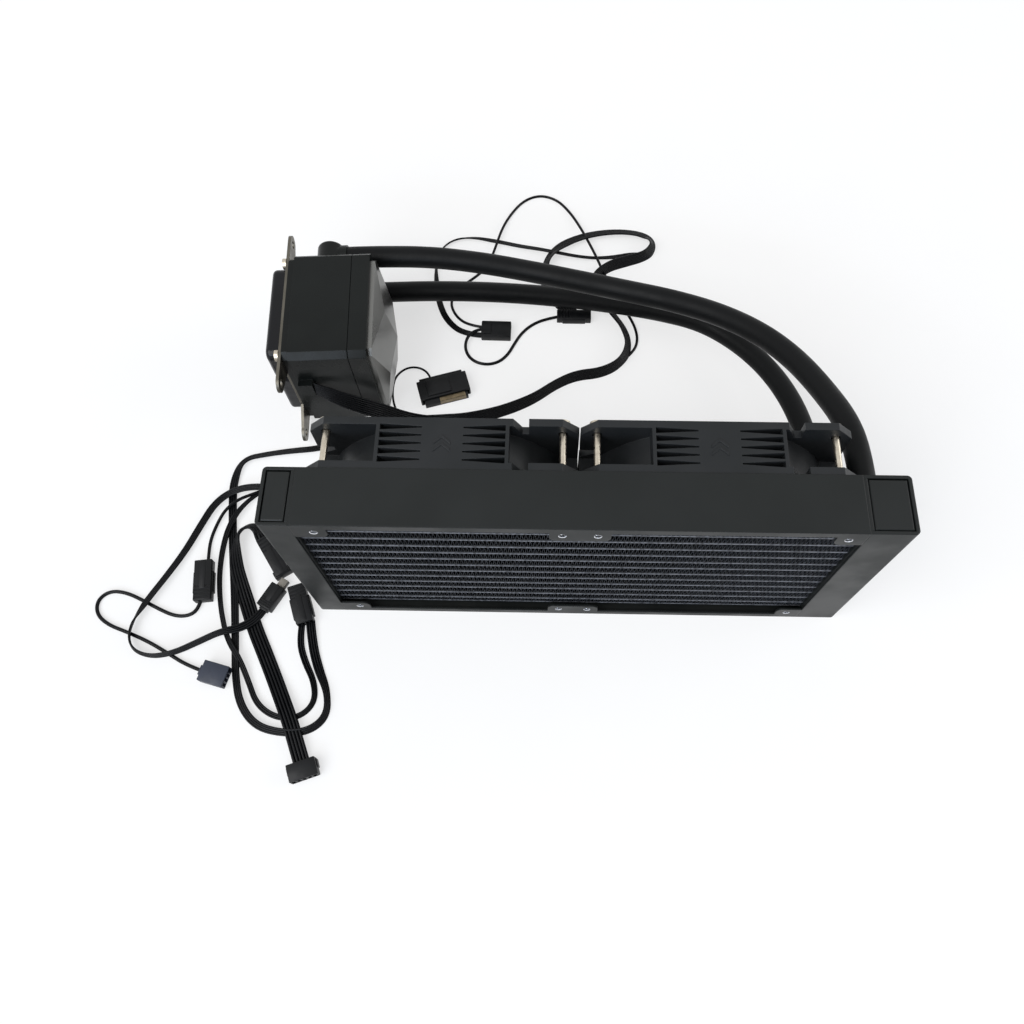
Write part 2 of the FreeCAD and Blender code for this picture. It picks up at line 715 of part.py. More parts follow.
def fan_rotor(label, x):
    """A cup hub with swept blades, trimmed to a round tip and root."""
    hub_top = float(S.fan_hub_start)
    hub_end = float(S.fan_depth - S.mount_thick - S.hub_gap)
    wall = float(S.fan_hub_wall)
    axis = Vector(0, 1, 0)
    radius = float(S.fan_hub_radius)
    tip = float(fan_bore_radius) - float(S.blade_tip_play)
    hub = Part.makeCylinder(radius, hub_end - hub_top, Vector(0, hub_top, 0), axis)
    hollow = Part.makeCylinder(radius - wall, hub_end, Vector(0, hub_top + wall, 0), axis)
    boss = Part.makeCylinder(float(S.bearing_radius), wall + 1, Vector(0, hub_top, 0), axis)
    bore = Part.makeCylinder(float(S.fan_shaft_radius), hub_end, Vector(0, hub_top + wall / 2, 0), axis)
    root = blade_section(radius - wall * 3, S.root_lead, S.root_trail, S.root_camber)
    middle = blade_section((radius + tip) / 2, S.mid_lead, S.mid_trail, S.mid_camber)
    end = blade_section(tip + wall, S.tip_lead, S.tip_trail, S.tip_camber)
    blade = Part.makeLoft([root, middle, end], True, False)
    sleeve = Part.makeCylinder(tip, hub_end * 2, Vector(0, 0, 0), axis)
    core = Part.makeCylinder(radius - wall / 2, hub_end * 2, Vector(0, 0, 0), axis)
    blade = blade.common(sleeve).cut(core)
    count = int(S.blade_count.number)
    blades = []
    for n in range(count):
        turned = blade.copy()
        turned.rotate(Vector(0, 0, 0), axis, 360 / count * n)
        blades.append(turned)
    edge = float(S.fan_hub_wall) / 2
    rim = [e for e in hub.Edges if e.Curve.TypeId == "Part::GeomCircle" and near(e.CenterOfMass.y, hub_top)]
    hub = hub.makeFillet(edge, rim)
    shape = hub.fuse(blades).cut(hollow).fuse(boss).cut(bore).removeSplitter()
    item = doc.addObject("Part::Feature", label)
    item.Shape = shape
    item.Placement = Placement(Vector(float(x), float(half_depth), float(middle_z)), Rotation())
    return keep(item, label)


def fan_motor(side, x):
    """The shaft pressed in the hub, the bearing in the frame's tube and the stator round it."""
    seat = S.fan_hub_start + S.fan_hub_wall / 2
    tube_start = S.fan_depth - S.mount_thick - S.bearing_tube_length
    bearing_start = tube_start + S.bearing_inset
    bearing_length = S.bearing_tube_length - S.bearing_inset * 2
    shaft = rod(f"fan_shaft_{side}", S.fan_shaft_radius, bearing_start + bearing_length - seat,
                x, middle_z, half_depth + seat)
    keep(shaft, f"fan_shaft_{side}")
    sleeve = Piece(f"fan_bearing_{side}")
    sleeve.pad("XZ_Plane", bearing_start, bearing_length, circles=[(0, 0, S.bearing_radius)])
    sleeve.cut("XZ_Plane", bearing_start, bearing_length,
               circles=[(0, 0, S.fan_shaft_radius + S.running_play)])
    place(sleeve.body, x, half_depth, middle_z)
    keep(sleeve.body, f"fan_bearing_{side}")
    stator = Piece(f"fan_stator_{side}")
    start = S.fan_depth - S.mount_thick - S.stator_depth
    outer = S.fan_hub_radius - S.fan_hub_wall - S.stator_gap
    stator.pad("XZ_Plane", start, S.stator_depth, circles=[(0, 0, outer)])
    inner = bearing_tube_radius + S.pole_gap / 4
    bend = inner + S.pole_gap / 4
    pole = stator.cut("XZ_Plane", start, S.stator_depth, [[
        (bend, inner), (outer - S.pole_gap, inner), (inner, outer - S.pole_gap), (inner, bend)]])
    stator.polar([pole], "Y_Axis", 4)
    stator.cut("XZ_Plane", start, S.stator_depth, circles=[(0, 0, bearing_tube_radius + S.seat_play)])
    place(stator.body, x, half_depth, middle_z)
    keep(stator.body, f"fan_stator_{side}")


for side, x in (("left", -fan_pitch / 2), ("right", fan_pitch / 2)):
    fan_frame(f"fan_frame_{side}", x)
    fan_rotor(f"fan_rotor_{side}", x)
    fan_motor(side, x)

screws = []
screw_top = half_depth + S.fan_depth
for n, x in enumerate((-hole_far, -hole_near, hole_near, hole_far)):
    for z in (hole_edge, rad_height - hole_edge):
        tag = f"screw_{n}_{int(z.number)}"
        shank = rod(tag + "_shank", S.fan_screw_radius, S.fan_depth + S.fan_screw_grip, x, z,
                    half_depth - S.fan_screw_grip)
        head = rod(tag + "_head", S.fan_screw_head_radius, S.fan_screw_head_height, x, z, screw_top)
        drive = rod(tag + "_drive", S.fan_screw_drive_radius, S.fan_screw_head_height, x, z,
                    screw_top + S.fan_screw_head_height / 3)
        whole = doc.addObject("Part::MultiFuse", tag + "_blank")
        whole.Shapes = [shank, head]
        screw = doc.addObject("Part::Cut", tag)
        screw.Base = whole
        screw.Tool = drive
        screws.append(screw)
group("fan_screws", screws)


# Pump block, built along +X from its underside
def pump_keep(piece, label):
    pump_place(piece.body)
    return keep(piece.body, label)


base = Piece("pump_base")
base.pad("YZ_Plane", 0, S.base_thick, [square(pump_half - S.base_inset, S.pump_chamfer)])
base.cut("YZ_Plane", S.base_thick / 2, S.base_thick, circles=[(0, 0, S.pump_shaft_radius)])
pump_keep(base, "pump_base")

housing = Piece("pump_housing")
body_length = S.housing_top - S.base_thick
housing.pad("YZ_Plane", S.base_thick, body_length, [square(pump_half, S.pump_chamfer)])
boss_low = S.elbow_x - S.elbow_radius - S.boss_margin
boss_high = S.elbow_x + S.elbow_radius + S.boss_margin
boss_rise = elbow_spread + S.elbow_radius + S.boss_end
housing.pad("XZ_Plane", pump_half, S.boss_height, [rectangle(boss_low, boss_high, -boss_rise, boss_rise)])
gland_low = S.base_thick + S.gland_start
gland_high = gland_low + S.gland_length
housing.pad("XZ_Plane", -pump_half - S.gland_height, S.gland_height,
            [rectangle(gland_low, gland_high, S.gland_rise - S.gland_half, S.gland_rise + S.gland_half)])
pump_stator_radius = pump_half - S.housing_wall - S.stator_margin
chamber_radius = pump_stator_radius - S.chamber_step
housing.cut("YZ_Plane", S.base_thick, S.chamber_depth, circles=[(0, 0, chamber_radius)])
motor_floor = S.base_thick + S.chamber_depth + S.floor_thick
room = pump_half - S.housing_wall
housing.cut("YZ_Plane", motor_floor, S.housing_top, circles=[(0, 0, pump_stator_radius + S.seat_play)])
can_top = S.base_thick + S.chamber_depth + S.can_length
housing.pad("YZ_Plane", motor_floor, can_top - motor_floor, circles=[(0, 0, S.can_radius)])
housing.cut("YZ_Plane", S.base_thick, can_top - S.can_wall - S.base_thick,
            circles=[(0, 0, S.can_radius - S.can_wall)])
ports = [(S.elbow_x, elbow_spread, S.hose_bore), (S.elbow_x, -elbow_spread, S.hose_bore)]
housing.cut("XZ_Plane", pump_half - S.housing_wall / 2, S.housing_wall * 2, circles=ports)
pump_keep(housing, "pump_housing")

ring = Piece("front_ring")
ring_start = S.housing_top + S.seam_gap
ring_top = ring_start + S.ring_length
ring.pad("YZ_Plane", ring_start, S.ring_length, [square(pump_half, S.pump_chamfer)])
ring.pad("YZ_Plane", S.housing_top, S.seam_gap, [square(pump_half - S.seam_depth, S.pump_chamfer)])
ring.cut("YZ_Plane", S.housing_top, ring_top - S.housing_top, [rectangle(-room, room, -room, room)])
pump_keep(ring, "front_ring")

board = Piece("light_board")
board_half = room - S.seat_play
board_low = ring_top - S.board_recess - S.board_thick
board.pad("YZ_Plane", board_low, S.board_thick, [square(board_half, S.pump_chamfer)])
lamp_spread = board_half - S.lamp_inset
lamps = [rectangle(a - S.lamp_half, a + S.lamp_half, b - S.lamp_half, b + S.lamp_half)
         for a in (-lamp_spread, lamp_spread) for b in (-lamp_spread, lamp_spread)]
board.pad("YZ_Plane", board_low, S.board_thick + S.lamp_height, lamps)
pump_keep(board, "light_board")


def faceted_cap():
    """A straight rim under four kite facets and four side facets that meet at a low peak."""
    half = float(pump_half - S.lens_inset)
    near_corner = half - float(S.lens_corner)
    low = float(ring_top)
    rim = low + float(S.lens_rim)
    slope = float(S.lens_rise) / (2 * half - float(S.lens_corner))
    peak = Vector(rim + float(S.lens_rise), 0, 0)
    mid = half - float(S.facet_depth)
    mid_x = peak.x - slope * mid
    faces = []

    def face(*corners):
        faces.append(Part.Face(Part.makePolygon(list(corners) + [corners[0]])))

    outline = []
    for quarter in range(4):
        turn = Rotation(Vector(1, 0, 0), 90 * quarter)
        next_turn = Rotation(Vector(1, 0, 0), 90 * (quarter + 1))
        first = turn.multVec(Vector(rim, half, near_corner))
        second = turn.multVec(Vector(rim, near_corner, half))
        side = turn.multVec(Vector(mid_x, mid, 0))
        next_side = next_turn.multVec(Vector(mid_x, mid, 0))
        following = next_turn.multVec(Vector(rim, half, near_corner))
        before = turn.multVec(Vector(rim, half, -near_corner))
        face(peak, side, first, second, next_side)
        face(side, before, first)
        outline += [first, second]
    for start, end in zip(outline, outline[1:] + outline[:1]):
        drop = Vector(low - rim, 0, 0)
        face(start, end, end + drop, start + drop)
    face(*[spot + Vector(low - rim, 0, 0) for spot in outline])
    solid = Part.Solid(Part.Shell(faces))
    if solid.Volume < 0:
        solid.reverse()
    return solid


lens = doc.addObject("Part::Feature", "faceted_cap")
lens.Shape = faceted_cap()
pump_turn = Rotation(Vector(0, 0, 1), float(S.pump_yaw))
lens.Placement = Placement(Vector(float(S.pump_x), float(S.pump_y), float(pump_half)), pump_turn)
keep(lens, "faceted_cap")

stator = Piece("pump_stator")
stator_start = motor_floor + S.stator_seat
stator_depth = S.housing_top - S.stator_headroom - stator_start
stator.pad("YZ_Plane", stator_start, stator_depth, circles=[(0, 0, pump_stator_radius)])
slot_mouth = S.can_wall * 1.5
slot_floor = slot_mouth * 3
slot = stator.cut("YZ_Plane", stator_start, stator_depth, [[
    (S.can_radius + S.can_wall, -slot_mouth), (pump_stator_radius - S.pole_gap, -slot_floor),
    (pump_stator_radius - S.pole_gap, slot_floor), (S.can_radius + S.can_wall, slot_mouth)]])
stator.polar([slot], "X_Axis", 6)
stator.cut("YZ_Plane", stator_start, stator_depth, circles=[(0, 0, S.can_radius + S.seat_play)])
pump_keep(stator, "pump_stator")

impeller = Piece("impeller")
disc_low = S.base_thick + S.impeller_play + S.vane_height
impeller_radius = chamber_radius - S.impeller_gap
magnet_radius = S.can_radius - S.can_wall - S.magnet_gap
magnet_end = can_top - S.can_wall - S.impeller_play
impeller.pad("YZ_Plane", disc_low, S.impeller_disc, circles=[(0, 0, impeller_radius)])
impeller.pad("YZ_Plane", disc_low, magnet_end - disc_low, circles=[(0, 0, magnet_radius)])
VANE_FRONT = (-0.6, 0.4, 4)
VANE_BACK = (0.8, 1.8, 5.2)
vane_line = (S.vane_root, S.vane_bend, impeller_radius - 1)
front_side = list(zip(vane_line, VANE_FRONT))
back_side = list(zip(vane_line, VANE_BACK))
vane = impeller.pad("YZ_Plane", S.base_thick + S.impeller_play, S.vane_height,
                    [front_side + back_side[::-1]])
impeller.polar([vane], "X_Axis", S.impeller_count)
impeller.cut("YZ_Plane", S.base_thick, can_top, circles=[(0, 0, S.pump_shaft_radius + S.running_play)])
pump_keep(impeller, "impeller")

pin = Piece("impeller_shaft")
pin.pad("YZ_Plane", S.base_thick / 2, can_top - S.can_wall - S.base_thick / 2,
        circles=[(0, 0, S.pump_shaft_radius)])
pump_keep(pin, "impeller_shaft")

plate = Piece("cold_plate")
plate_half = pump_half - S.plate_inset
plate.pad("YZ_Plane", -S.plate_thick, S.plate_thick, [square(plate_half, S.pump_chamfer)])
seat = plate_half - S.plate_screw_inset
plate.cut("YZ_Plane", -S.plate_thick, S.plate_screw_depth,
          circles=[(a, b, S.plate_screw_radius) for a in (-seat, seat) for b in (-seat, seat)])
pump_keep(plate, "cold_plate")

bracket = Piece("mounting_bracket")
ear = S.ear_radius
opening = plate_half + S.bracket_play
frame = opening + S.frame_width
span = frame + S.ear_reach
rise = frame - ear
bracket.pad("YZ_Plane", -S.bracket_thick, S.bracket_thick, [[
    (frame, -rise + ear * 2), (frame, rise - ear * 2), (span, rise - ear), (span, rise + ear),
    (frame - ear, frame), (-frame + ear, frame), (-span, rise + ear), (-span, rise - ear),
    (-frame, rise - ear * 2), (-frame, -rise + ear * 2), (-span, -rise + ear), (-span, -rise - ear),
    (-frame + ear, -frame), (frame - ear, -frame), (span, -rise - ear), (span, -rise + ear)]])
bracket.pad("YZ_Plane", -S.bracket_thick, S.bracket_thick,
            circles=[(a, b, ear) for a in (-span, span) for b in (-rise, rise)])
bracket.cut("YZ_Plane", -S.bracket_thick, S.bracket_thick, [square(opening, S.pump_chamfer)])
bracket.cut("YZ_Plane", -S.bracket_thick, S.bracket_thick,
            circles=[(a, b, S.bracket_hole_radius) for a in (-span, span) for b in (-rise, rise)])
pump_keep(bracket, "mounting_bracket")

cover = Piece("cold_plate_cover")
cover_half = plate_half + S.cover_gap
cover_low = -S.bracket_thick - S.cover_depth
cover.pad("YZ_Plane", cover_low, S.cover_depth,
          [rectangle(-cover_half, cover_half, -cover_half, cover_half)])
cover.dress("Fillet", S.cover_round, lambda edge: along(edge, Vector(1, 0, 0)))
cover.dress("Fillet", S.cover_round / 2, lambda edge: all(near(v.Point.x, cover_low) for v in edge.Vertexes))
hollow = cover_half - S.cover_wall
hollow_corner = S.cover_round - S.cover_wall
cover.cut("YZ_Plane", cover_low + S.cover_wall, S.cover_depth, [square(hollow, hollow_corner)])
pump_keep(cover, "cold_plate_cover")

stud_spread = frame - S.stud_inset
stud_spots = [(a, b) for a in (-stud_spread, stud_spread) for b in (-stud_spread, stud_spread)]
stud_items = []
for n, (a, b) in enumerate(stud_spots):
    stud = doc.addObject("Part::Cylinder", f"stud_head_{n}")
    stud.Placement.Rotation = Rotation(Vector(0, 1, 0), 90)
    bind(stud, "Radius", S.stud_head_radius)
    bind(stud, "Height", S.stud_head_height)
    place(stud, -S.bracket_thick - S.stud_head_height, a, b)
    stud_items.append(stud)
pump_place(group("bracket_studs", stud_items))


def elbow(label, z):
    """A swivel elbow: a round foot, a turned body and a stub that carries the hose."""
    piece = Piece(label)
    foot = pump_half + S.boss_height
    line = pump_half + S.elbow_out
    head = line + S.elbow_cap
    piece.pad("XZ_Plane", foot, head - foot, circles=[(S.elbow_x, z, S.elbow_radius)])
    piece.dress("Fillet", S.elbow_radius / 4, lambda edge: edge.Curve.TypeId == "Part::GeomCircle"
                and near(edge.CenterOfMass.y, head))
    collar = S.elbow_reach - S.collar_length
    piece.pad("YZ_Plane", S.elbow_x, collar, circles=[(line, z, S.elbow_radius - S.elbow_step)])
    piece.pad("YZ_Plane", S.elbow_x + collar, S.collar_length,
              circles=[(line, z, S.elbow_radius - S.collar_step)])
    piece.cut("XZ_Plane", foot, S.elbow_out - S.boss_height, circles=[(S.elbow_x, z, S.hose_bore)])
    piece.cut("YZ_Plane", S.elbow_x, S.elbow_reach, circles=[(line, z, S.hose_bore)])
    pump_place(piece.body)
    return keep(piece.body, label)


elbow("elbow_upper", elbow_spread)
elbow("elbow_lower", -elbow_spread)


# A point of the pump, for the hoses and its cable
def pump_point(x, y, z):
    """A point given along the pump's own axes."""
    return pump_turn.multVec(Vector(float(x), float(y), float(z))) + lens.Placement.Base


# Connectors on the cables: each lies flat on the surface
class Plug:
    """A connector housing, placed by its middle and turned about Z."""

    def __init__(self, label, middle, angle, length, width, height, steps=()):
        self.middle = Vector(*middle, 0)
        self.turn = Rotation(Vector(0, 0, 1), angle)
        piece = Piece(label)
        for start, end, side, top in ((-length / 2, length / 2, width / 2, height), *steps):
            outline = rectangle(Dim.of(start), Dim.of(end), -Dim.of(side), Dim.of(side))
            piece.pad("XY_Plane", 0, Dim.of(top), [outline])
        piece.body.Placement = Placement(self.middle, self.turn)
        keep(piece.body, label)

    def spot(self, along_it, across, height):
        """A point given along and across the housing."""
        return self.middle + self.turn.multVec(Vector(along_it, across, height))


drive_plug = Plug("drive_power_plug", (-76.8, 123), 17, 30, 13, 6.4, [(-13, 13, 9, 4.6), (-10, 4, 5.2, 7.4)])
header_plug = Plug("header_plug", (-47, 164.2), -1, 18, 11, 5.6, [(-9, -3, 4.2, 6.4)])
hub_plug = Plug("hub_plug", (0.5, 175.7), 0, 21, 6.6, 5.2, [(-7, 7, 3.9, 4.2)])
light_coupler = Plug("light_coupler", (-199.5, 0.5), 97, 23, 9.5, 5.8, [(-7, 5, 5.4, 4.6)])
loop_coupler = Plug("loop_coupler", (-185.4, -50.2), -15, 14, 11, 6, [(-8.6, -5, 2.6, 4)])
end_plug = Plug("end_plug", (-133.6, -97.4), -70, 9, 14.5, 6.6, [(-3.5, 1, 7.8, 4.6)])
tank_side_plug = Plug("tank_side_plug", (-163.6, 15.1), -56, 25, 8, 6, [(9, 13, 4.8, 5)])
fan_plug_short = Plug("fan_plug_short", (-161.4, -8.2), 61, 14, 8.4, 6, [(-8.2, -5, 2.4, 4)])
fan_plug_long = Plug("fan_plug_long", (-145.1, -12), -70, 22, 9.2, 6.2, [(-4, 8, 5.4, 4.8)])


# Hoses and cables: straight runs joined by arcs
def cord_tube(label, radius, route):
    """A round tube along runs joined by the largest arcs that the runs allow."""
    spots = [Vector(*spot) for spot in route]
    runs = [(b - a).Length for a, b in zip(spots, spots[1:])]
    edges = []
    radii = []
    here = spots[0]
    for before, corner, after, run_in, run_out in zip(spots, spots[1:], spots[2:], runs, runs[1:]):
        way_in = (corner - before).normalize()
        way_out = (after - corner).normalize()
        cut_back = 0.45 * min(run_in, run_out)
        half_turn = way_in.getAngle(way_out) / 2
        bend = cut_back / math.tan(half_turn)
        radii.append(bend)
        start = corner - way_in * cut_back
        end = corner + way_out * cut_back
        top = corner + (way_out - way_in).normalize() * (bend / math.cos(half_turn) - bend)
        edges.append(Part.LineSegment(here, start).toShape())
        edges.append(Part.Arc(start, top, end).toShape())
        here = end
    edges.append(Part.LineSegment(here, spots[-1]).toShape())
    length = sum(edge.Length for edge in edges)
    ring_edge = Part.Circle(spots[0], (spots[1] - spots[0]).normalize(), radius).toShape()
    item = doc.addObject("Part::Feature", label)
    item.Shape = Part.Wire(edges).makePipeShell([Part.Wire([ring_edge])], True, False)
    filled = item.Shape.Volume / (math.pi * radius * radius * length)
    print(f"{label}: length {length:.0f}, tightest bend {min(radii):.1f}, volume by section {filled:.4f}")
    return keep(item, label)


HOSE_LEAD = 17
CORD_SEAT = 1
hose_line = pump_half + S.elbow_out
stub_end = S.elbow_x + S.elbow_reach
hose_end_y = float(half_depth + S.barb_length)
upper_start = pump_point(stub_end, hose_line, elbow_spread)
upper_lead = pump_point(stub_end + HOSE_LEAD, hose_line, elbow_spread)
upper_run_in = Vector(float(barb_x), hose_end_y + HOSE_LEAD, float(barb_upper))
upper_end = Vector(float(barb_x), hose_end_y, float(barb_upper))
lower_start = pump_point(stub_end, hose_line, -elbow_spread)
lower_lead = pump_point(stub_end + HOSE_LEAD, hose_line, -elbow_spread)
lower_run_in = Vector(float(barb_x), hose_end_y + HOSE_LEAD, float(barb_lower))
lower_end = Vector(float(barb_x), hose_end_y, float(barb_lower))

cord_tube("hose_upper", float(S.hose_radius), [
    tuple(upper_start), tuple(upper_lead), (-83, 181.6, 50), (-54, 178.8, 49), (-25, 173.2, 48.6),
    (3, 165.6, 50), (29.5, 157, 53), (54, 147.6, 57.5), (77, 136, 62), (96.5, 119.5, 68.5), (111, 99.5, 75),
    (121, 77.5, 81.5), (127.8, 56, 88.5),
    tuple(upper_run_in), tuple(upper_end)])
cord_tube("hose_lower", float(S.hose_radius), [
    tuple(lower_start), tuple(lower_lead), (-88, 183.4, 16), (-60, 184.6, 14.5), (-31, 184.2, 13.3),
    (-3, 181.8, 13), (25, 178, 13.1), (51, 173, 13.4), (76, 165.5, 14.2), (96, 150.5, 16),
    (111.5, 131.5, 18.5), (122, 109.5, 21.5), (127.6, 86, 24.5), (129.4, 61.5, 26.8),
    tuple(lower_run_in), tuple(lower_end)])

CABLE = 0.9
THIN = 0.7
gland_exit = pump_point(gland_high - CORD_SEAT, -pump_half - S.gland_height / 2, S.gland_rise)
cord_tube("pump_ribbon", CABLE, [
    tuple(gland_exit), (-136, 97.6, 38.8), (-128, 96, 35), (-119.5, 95.4, 30.2), (-111.5, 95.8, 24.6),
    (-104.5, 96.9, 17.8), (-98.5, 98.2, 10.8), (-92, 99.3, 5.2), (-84.5, 99.9, 2), (-75, 100.3, 1),
    (-64, 101.3, 1), (-53, 103.7, 1), (-42, 107.2, 1), (-31.5, 111.6, 1), (-21.5, 117, 1), (-10, 126, 1),
    (2, 132.2, 1), (16, 134, 1), (27.5, 140.2, 1), (34, 151.5, 1),
    (32, 165.5, 1), (24, 178, 1), (15.5, 190, 1), (12.5, 202.5, 1), (21, 212.3, 1), (34, 217, 1),
    (45.5, 221, 1), (50.9, 227.6, 1), (50, 235.2, 1), (43.4, 240, 1), (31, 241.8, 1), (17, 240.6, 1),
    (3.5, 236.8, 1), (-8.5, 230, 1), (-16.4, 219.6, 1), (-18.6, 206.5, 1), (-14.6, 194.5, 1),
    (-6.5, 185.6, 1.4), tuple(hub_plug.spot(-1.5, 2.5, 2))])
cord_tube("light_lead", THIN, [
    (30.75, 145.85, 1), (36.8, 151.3, 1), (39.8, 160, 1), (38, 170.5, 1), (32.4, 182, 1), (26, 193.5, 3),
    (20, 206, 3.4), (15, 220, 3.4), (9.2, 234, 3.4), (3.6, 247, 2.4), (-2.4, 259, 1), (-10.6, 269, 1),
    (-22, 273, 1), (-33, 268, 1), (-41.6, 255.5, 1), (-46.6, 241.5, 3), (-50, 227, 3), (-54.4, 213.6, 1),
    (-63.6, 204, 1), (-73, 196.4, 1), (-76.8, 185.8, 1), (-72.6, 175.6, 1), (-64.4, 169, 1.4),
    tuple(header_plug.spot(-8, 3, 2))])
cord_tube("looped_lead", CABLE, [
    (48.2, 224.3, 1), (39, 225.2, 1), (27.5, 222.8, 1), (15, 221.6, 1), (2.6, 222, 2.2), (-9, 223.6, 3.4),
    (-21, 226.4, 3.4), (-34, 230, 1.6), (-49, 234.2, 1), (-64, 237, 1), (-77.4, 235, 1), (-85.6, 226, 1),
    (-87.4, 213, 1), (-86, 199, 1), (-83.4, 185, 1), (-78, 172.6, 1), (-67.4, 162.8, 1),
    tuple(header_plug.spot(-8, -3, 2))])
cord_tube("header_lead", THIN, [
    tuple(header_plug.spot(-8, 0, 4.5)), (-60, 163.4, 4.2), (-64.6, 158.8, 3.8), (-65.8, 152.4, 2),
    (-63.3, 146.4, 1), (-58, 142.2, 1), (-51, 141, 1), (-44.2, 143.3, 1), (-39.2, 148.8, 1), (-35.8, 156, 1),
    (-32, 163.3, 1), (-26.2, 169.6, 1), (-18, 174, 1.4), tuple(hub_plug.spot(-9.5, 0, 2))])
cord_tube("power_wire", THIN, [
    (-98.7, 98.9, 10.6), (-101.5, 103.6, 6), (-104.6, 109.2, 2.6), (-106.8, 116, 1.2), (-107.6, 124, 1),
    (-106.4, 132.4, 1), (-100, 138.4, 1), (-92.3, 138.5, 1), (-86.3, 133.8, 1.4),
    tuple(drive_plug.spot(-6, 8, 2))])
cord_tube("fan_lead_long", CABLE, [
    (-97, 37.5, 13), (-96, 48.5, 8), (-94.4, 61, 2.6), (-95.4, 75, 1), (-101, 87, 1), (-112, 91.6, 1),
    (-124, 90.6, 1), (-136, 86.4, 1), (-148, 82.4, 1), (-162, 80.8, 1), (-176, 77.6, 1), (-187.6, 71, 1),
    (-192.2, 59.4, 1), (-191, 45, 1), (-188.4, 30, 1), (-185.6, 15, 1), (-182.4, 0, 1), (-179.4, -16, 1),
    (-176.5, -33, 1), (-174.6, -50, 1), (-170.8, -65, 1), (-161, -76, 1), (-147, -79.4, 1),
    (-133.4, -78.4, 1), (-124.8, -70.6, 1), (-126, -58, 1), (-132.4, -46, 1), (-137, -33, 1.4),
    tuple(fan_plug_long.spot(10, 2.5, 2))])
cord_tube("fan_lead_second", CABLE, [
    (-99.5, 37.5, 9), (-102, 45.5, 5), (-109.6, 53, 2), (-121.6, 57.6, 1), (-136, 60, 1), (-152, 61.6, 1),
    (-167.6, 60, 1), (-179, 53, 1.4), (-186, 44, 3.2), (-190.6, 33.6, 3.2), (-193, 22, 1.2), (-192.8, 8, 1),
    (-190.6, -6, 1), (-187, -19.6, 1), (-181.6, -31.8, 3.1), (-173.4, -42.4, 3.1), (-167.6, -54, 1),
    (-162, -65, 1), (-151.6, -71.6, 1), (-139.6, -71.6, 1), (-132, -64, 1), (-133.6, -53, 1),
    (-140, -42.2, 1), (-144, -31.6, 1.4), tuple(fan_plug_long.spot(10, -2, 2))])
cord_tube("sync_ribbon", CABLE, [
    tuple(tank_side_plug.spot(-11.5, 0, 2.6)), (-172.2, 28.6, 2.8), (-177.6, 33.6, 3), (-184, 30.6, 3.1),
    (-185.8, 23, 3.2), (-184, 11.4, 3.2), (-178.4, -2.6, 2.4), (-174, -13, 1), (-168.8, -24.8, 1),
    (-162, -37.4, 1), (-155.2, -50.4, 1), (-148.8, -62.4, 3), (-143.2, -73.6, 3.4), (-138.6, -84.8, 3),
    tuple(end_plug.spot(-3.5, 0, 2.4))])
cord_tube("strap_lead", CABLE, [
    (-104, 37.5, 4.5), (-108, 44.4, 2.6), (-116.8, 49, 1.2), (-130, 51, 1), (-145, 52, 2), (-160, 54, 3.6),
    (-175, 56.4, 5.4), (-189.6, 55.2, 4), (-200.6, 47.4, 3), (-207, 33.6, 2), (-213, 18, 2),
    (-220.4, 2.4, 3.4), (-229, -12.4, 3.4), (-235, -26.4, 3.4), (-232, -37.4, 3.4), (-221, -41.8, 3.4),
    (-208.6, -39.4, 3.4), (-197, -33.6, 3.8), (-185.2, -28, 5.4), (-175.6, -25.6, 3.6), (-167.6, -19.9, 3),
    tuple(fan_plug_short.spot(-7.4, 0, 2.2))])
cord_tube("loop_lead", THIN, [
    tuple(light_coupler.spot(-10.5, 1.5, 2)), (-200.6, -15, 1.4), (-205.2, -18.6, 1), (-212.6, -18.8, 1),
    (-221.6, -15.2, 1), (-231.6, -10.2, 1), (-241.6, -6, 1), (-250.4, -5.4, 1), (-256, -10.6, 1),
    (-254.8, -18.4, 1), (-247.4, -24.2, 1), (-236.4, -28, 1), (-224, -33, 1), (-212, -39.4, 1),
    (-201.6, -45.2, 1), tuple(loop_coupler.spot(-7.4, 0, 2))])
cord_tube("coupler_lead", THIN, [
    (-173.3, 56.5, 1.2), (-180.6, 53.4, 1.2), (-188, 49, 3.2), (-194.4, 42.6, 3.2), (-198.2, 35, 1.4),
    (-200.4, 26.4, 1), (-200.5, 18.6, 1), tuple(light_coupler.spot(10.5, -1.5, 2))])

doc.recompute()
failed = [item.Name for item in doc.Objects if "Invalid" in item.State or "Error" in item.State]
if failed:
    raise RuntimeError(f"features failed: {failed}")
for item in parts:
    if item.Shape.isNull() or not item.Shape.isValid() or not item.Shape.Solids:
        raise RuntimeError(f"{item.Label} has no valid solid")

os.makedirs("parts", exist_ok=True)
for item in parts:
    item.Shape.exportStep(f"parts/{item.Label}.step")
print(f"{len(parts)} sub-parts written")
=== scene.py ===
"""Looks of an all in one liquid cooler: radiator, two fans, pump block, hoses and cables.

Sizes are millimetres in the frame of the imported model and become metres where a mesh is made.
"""

import logging
import math
from dataclasses import dataclass, field
from enum import Enum
from typing import Callable, Iterable, Optional, Sequence, Union

import bpy
from mathutils import Matrix, Vector


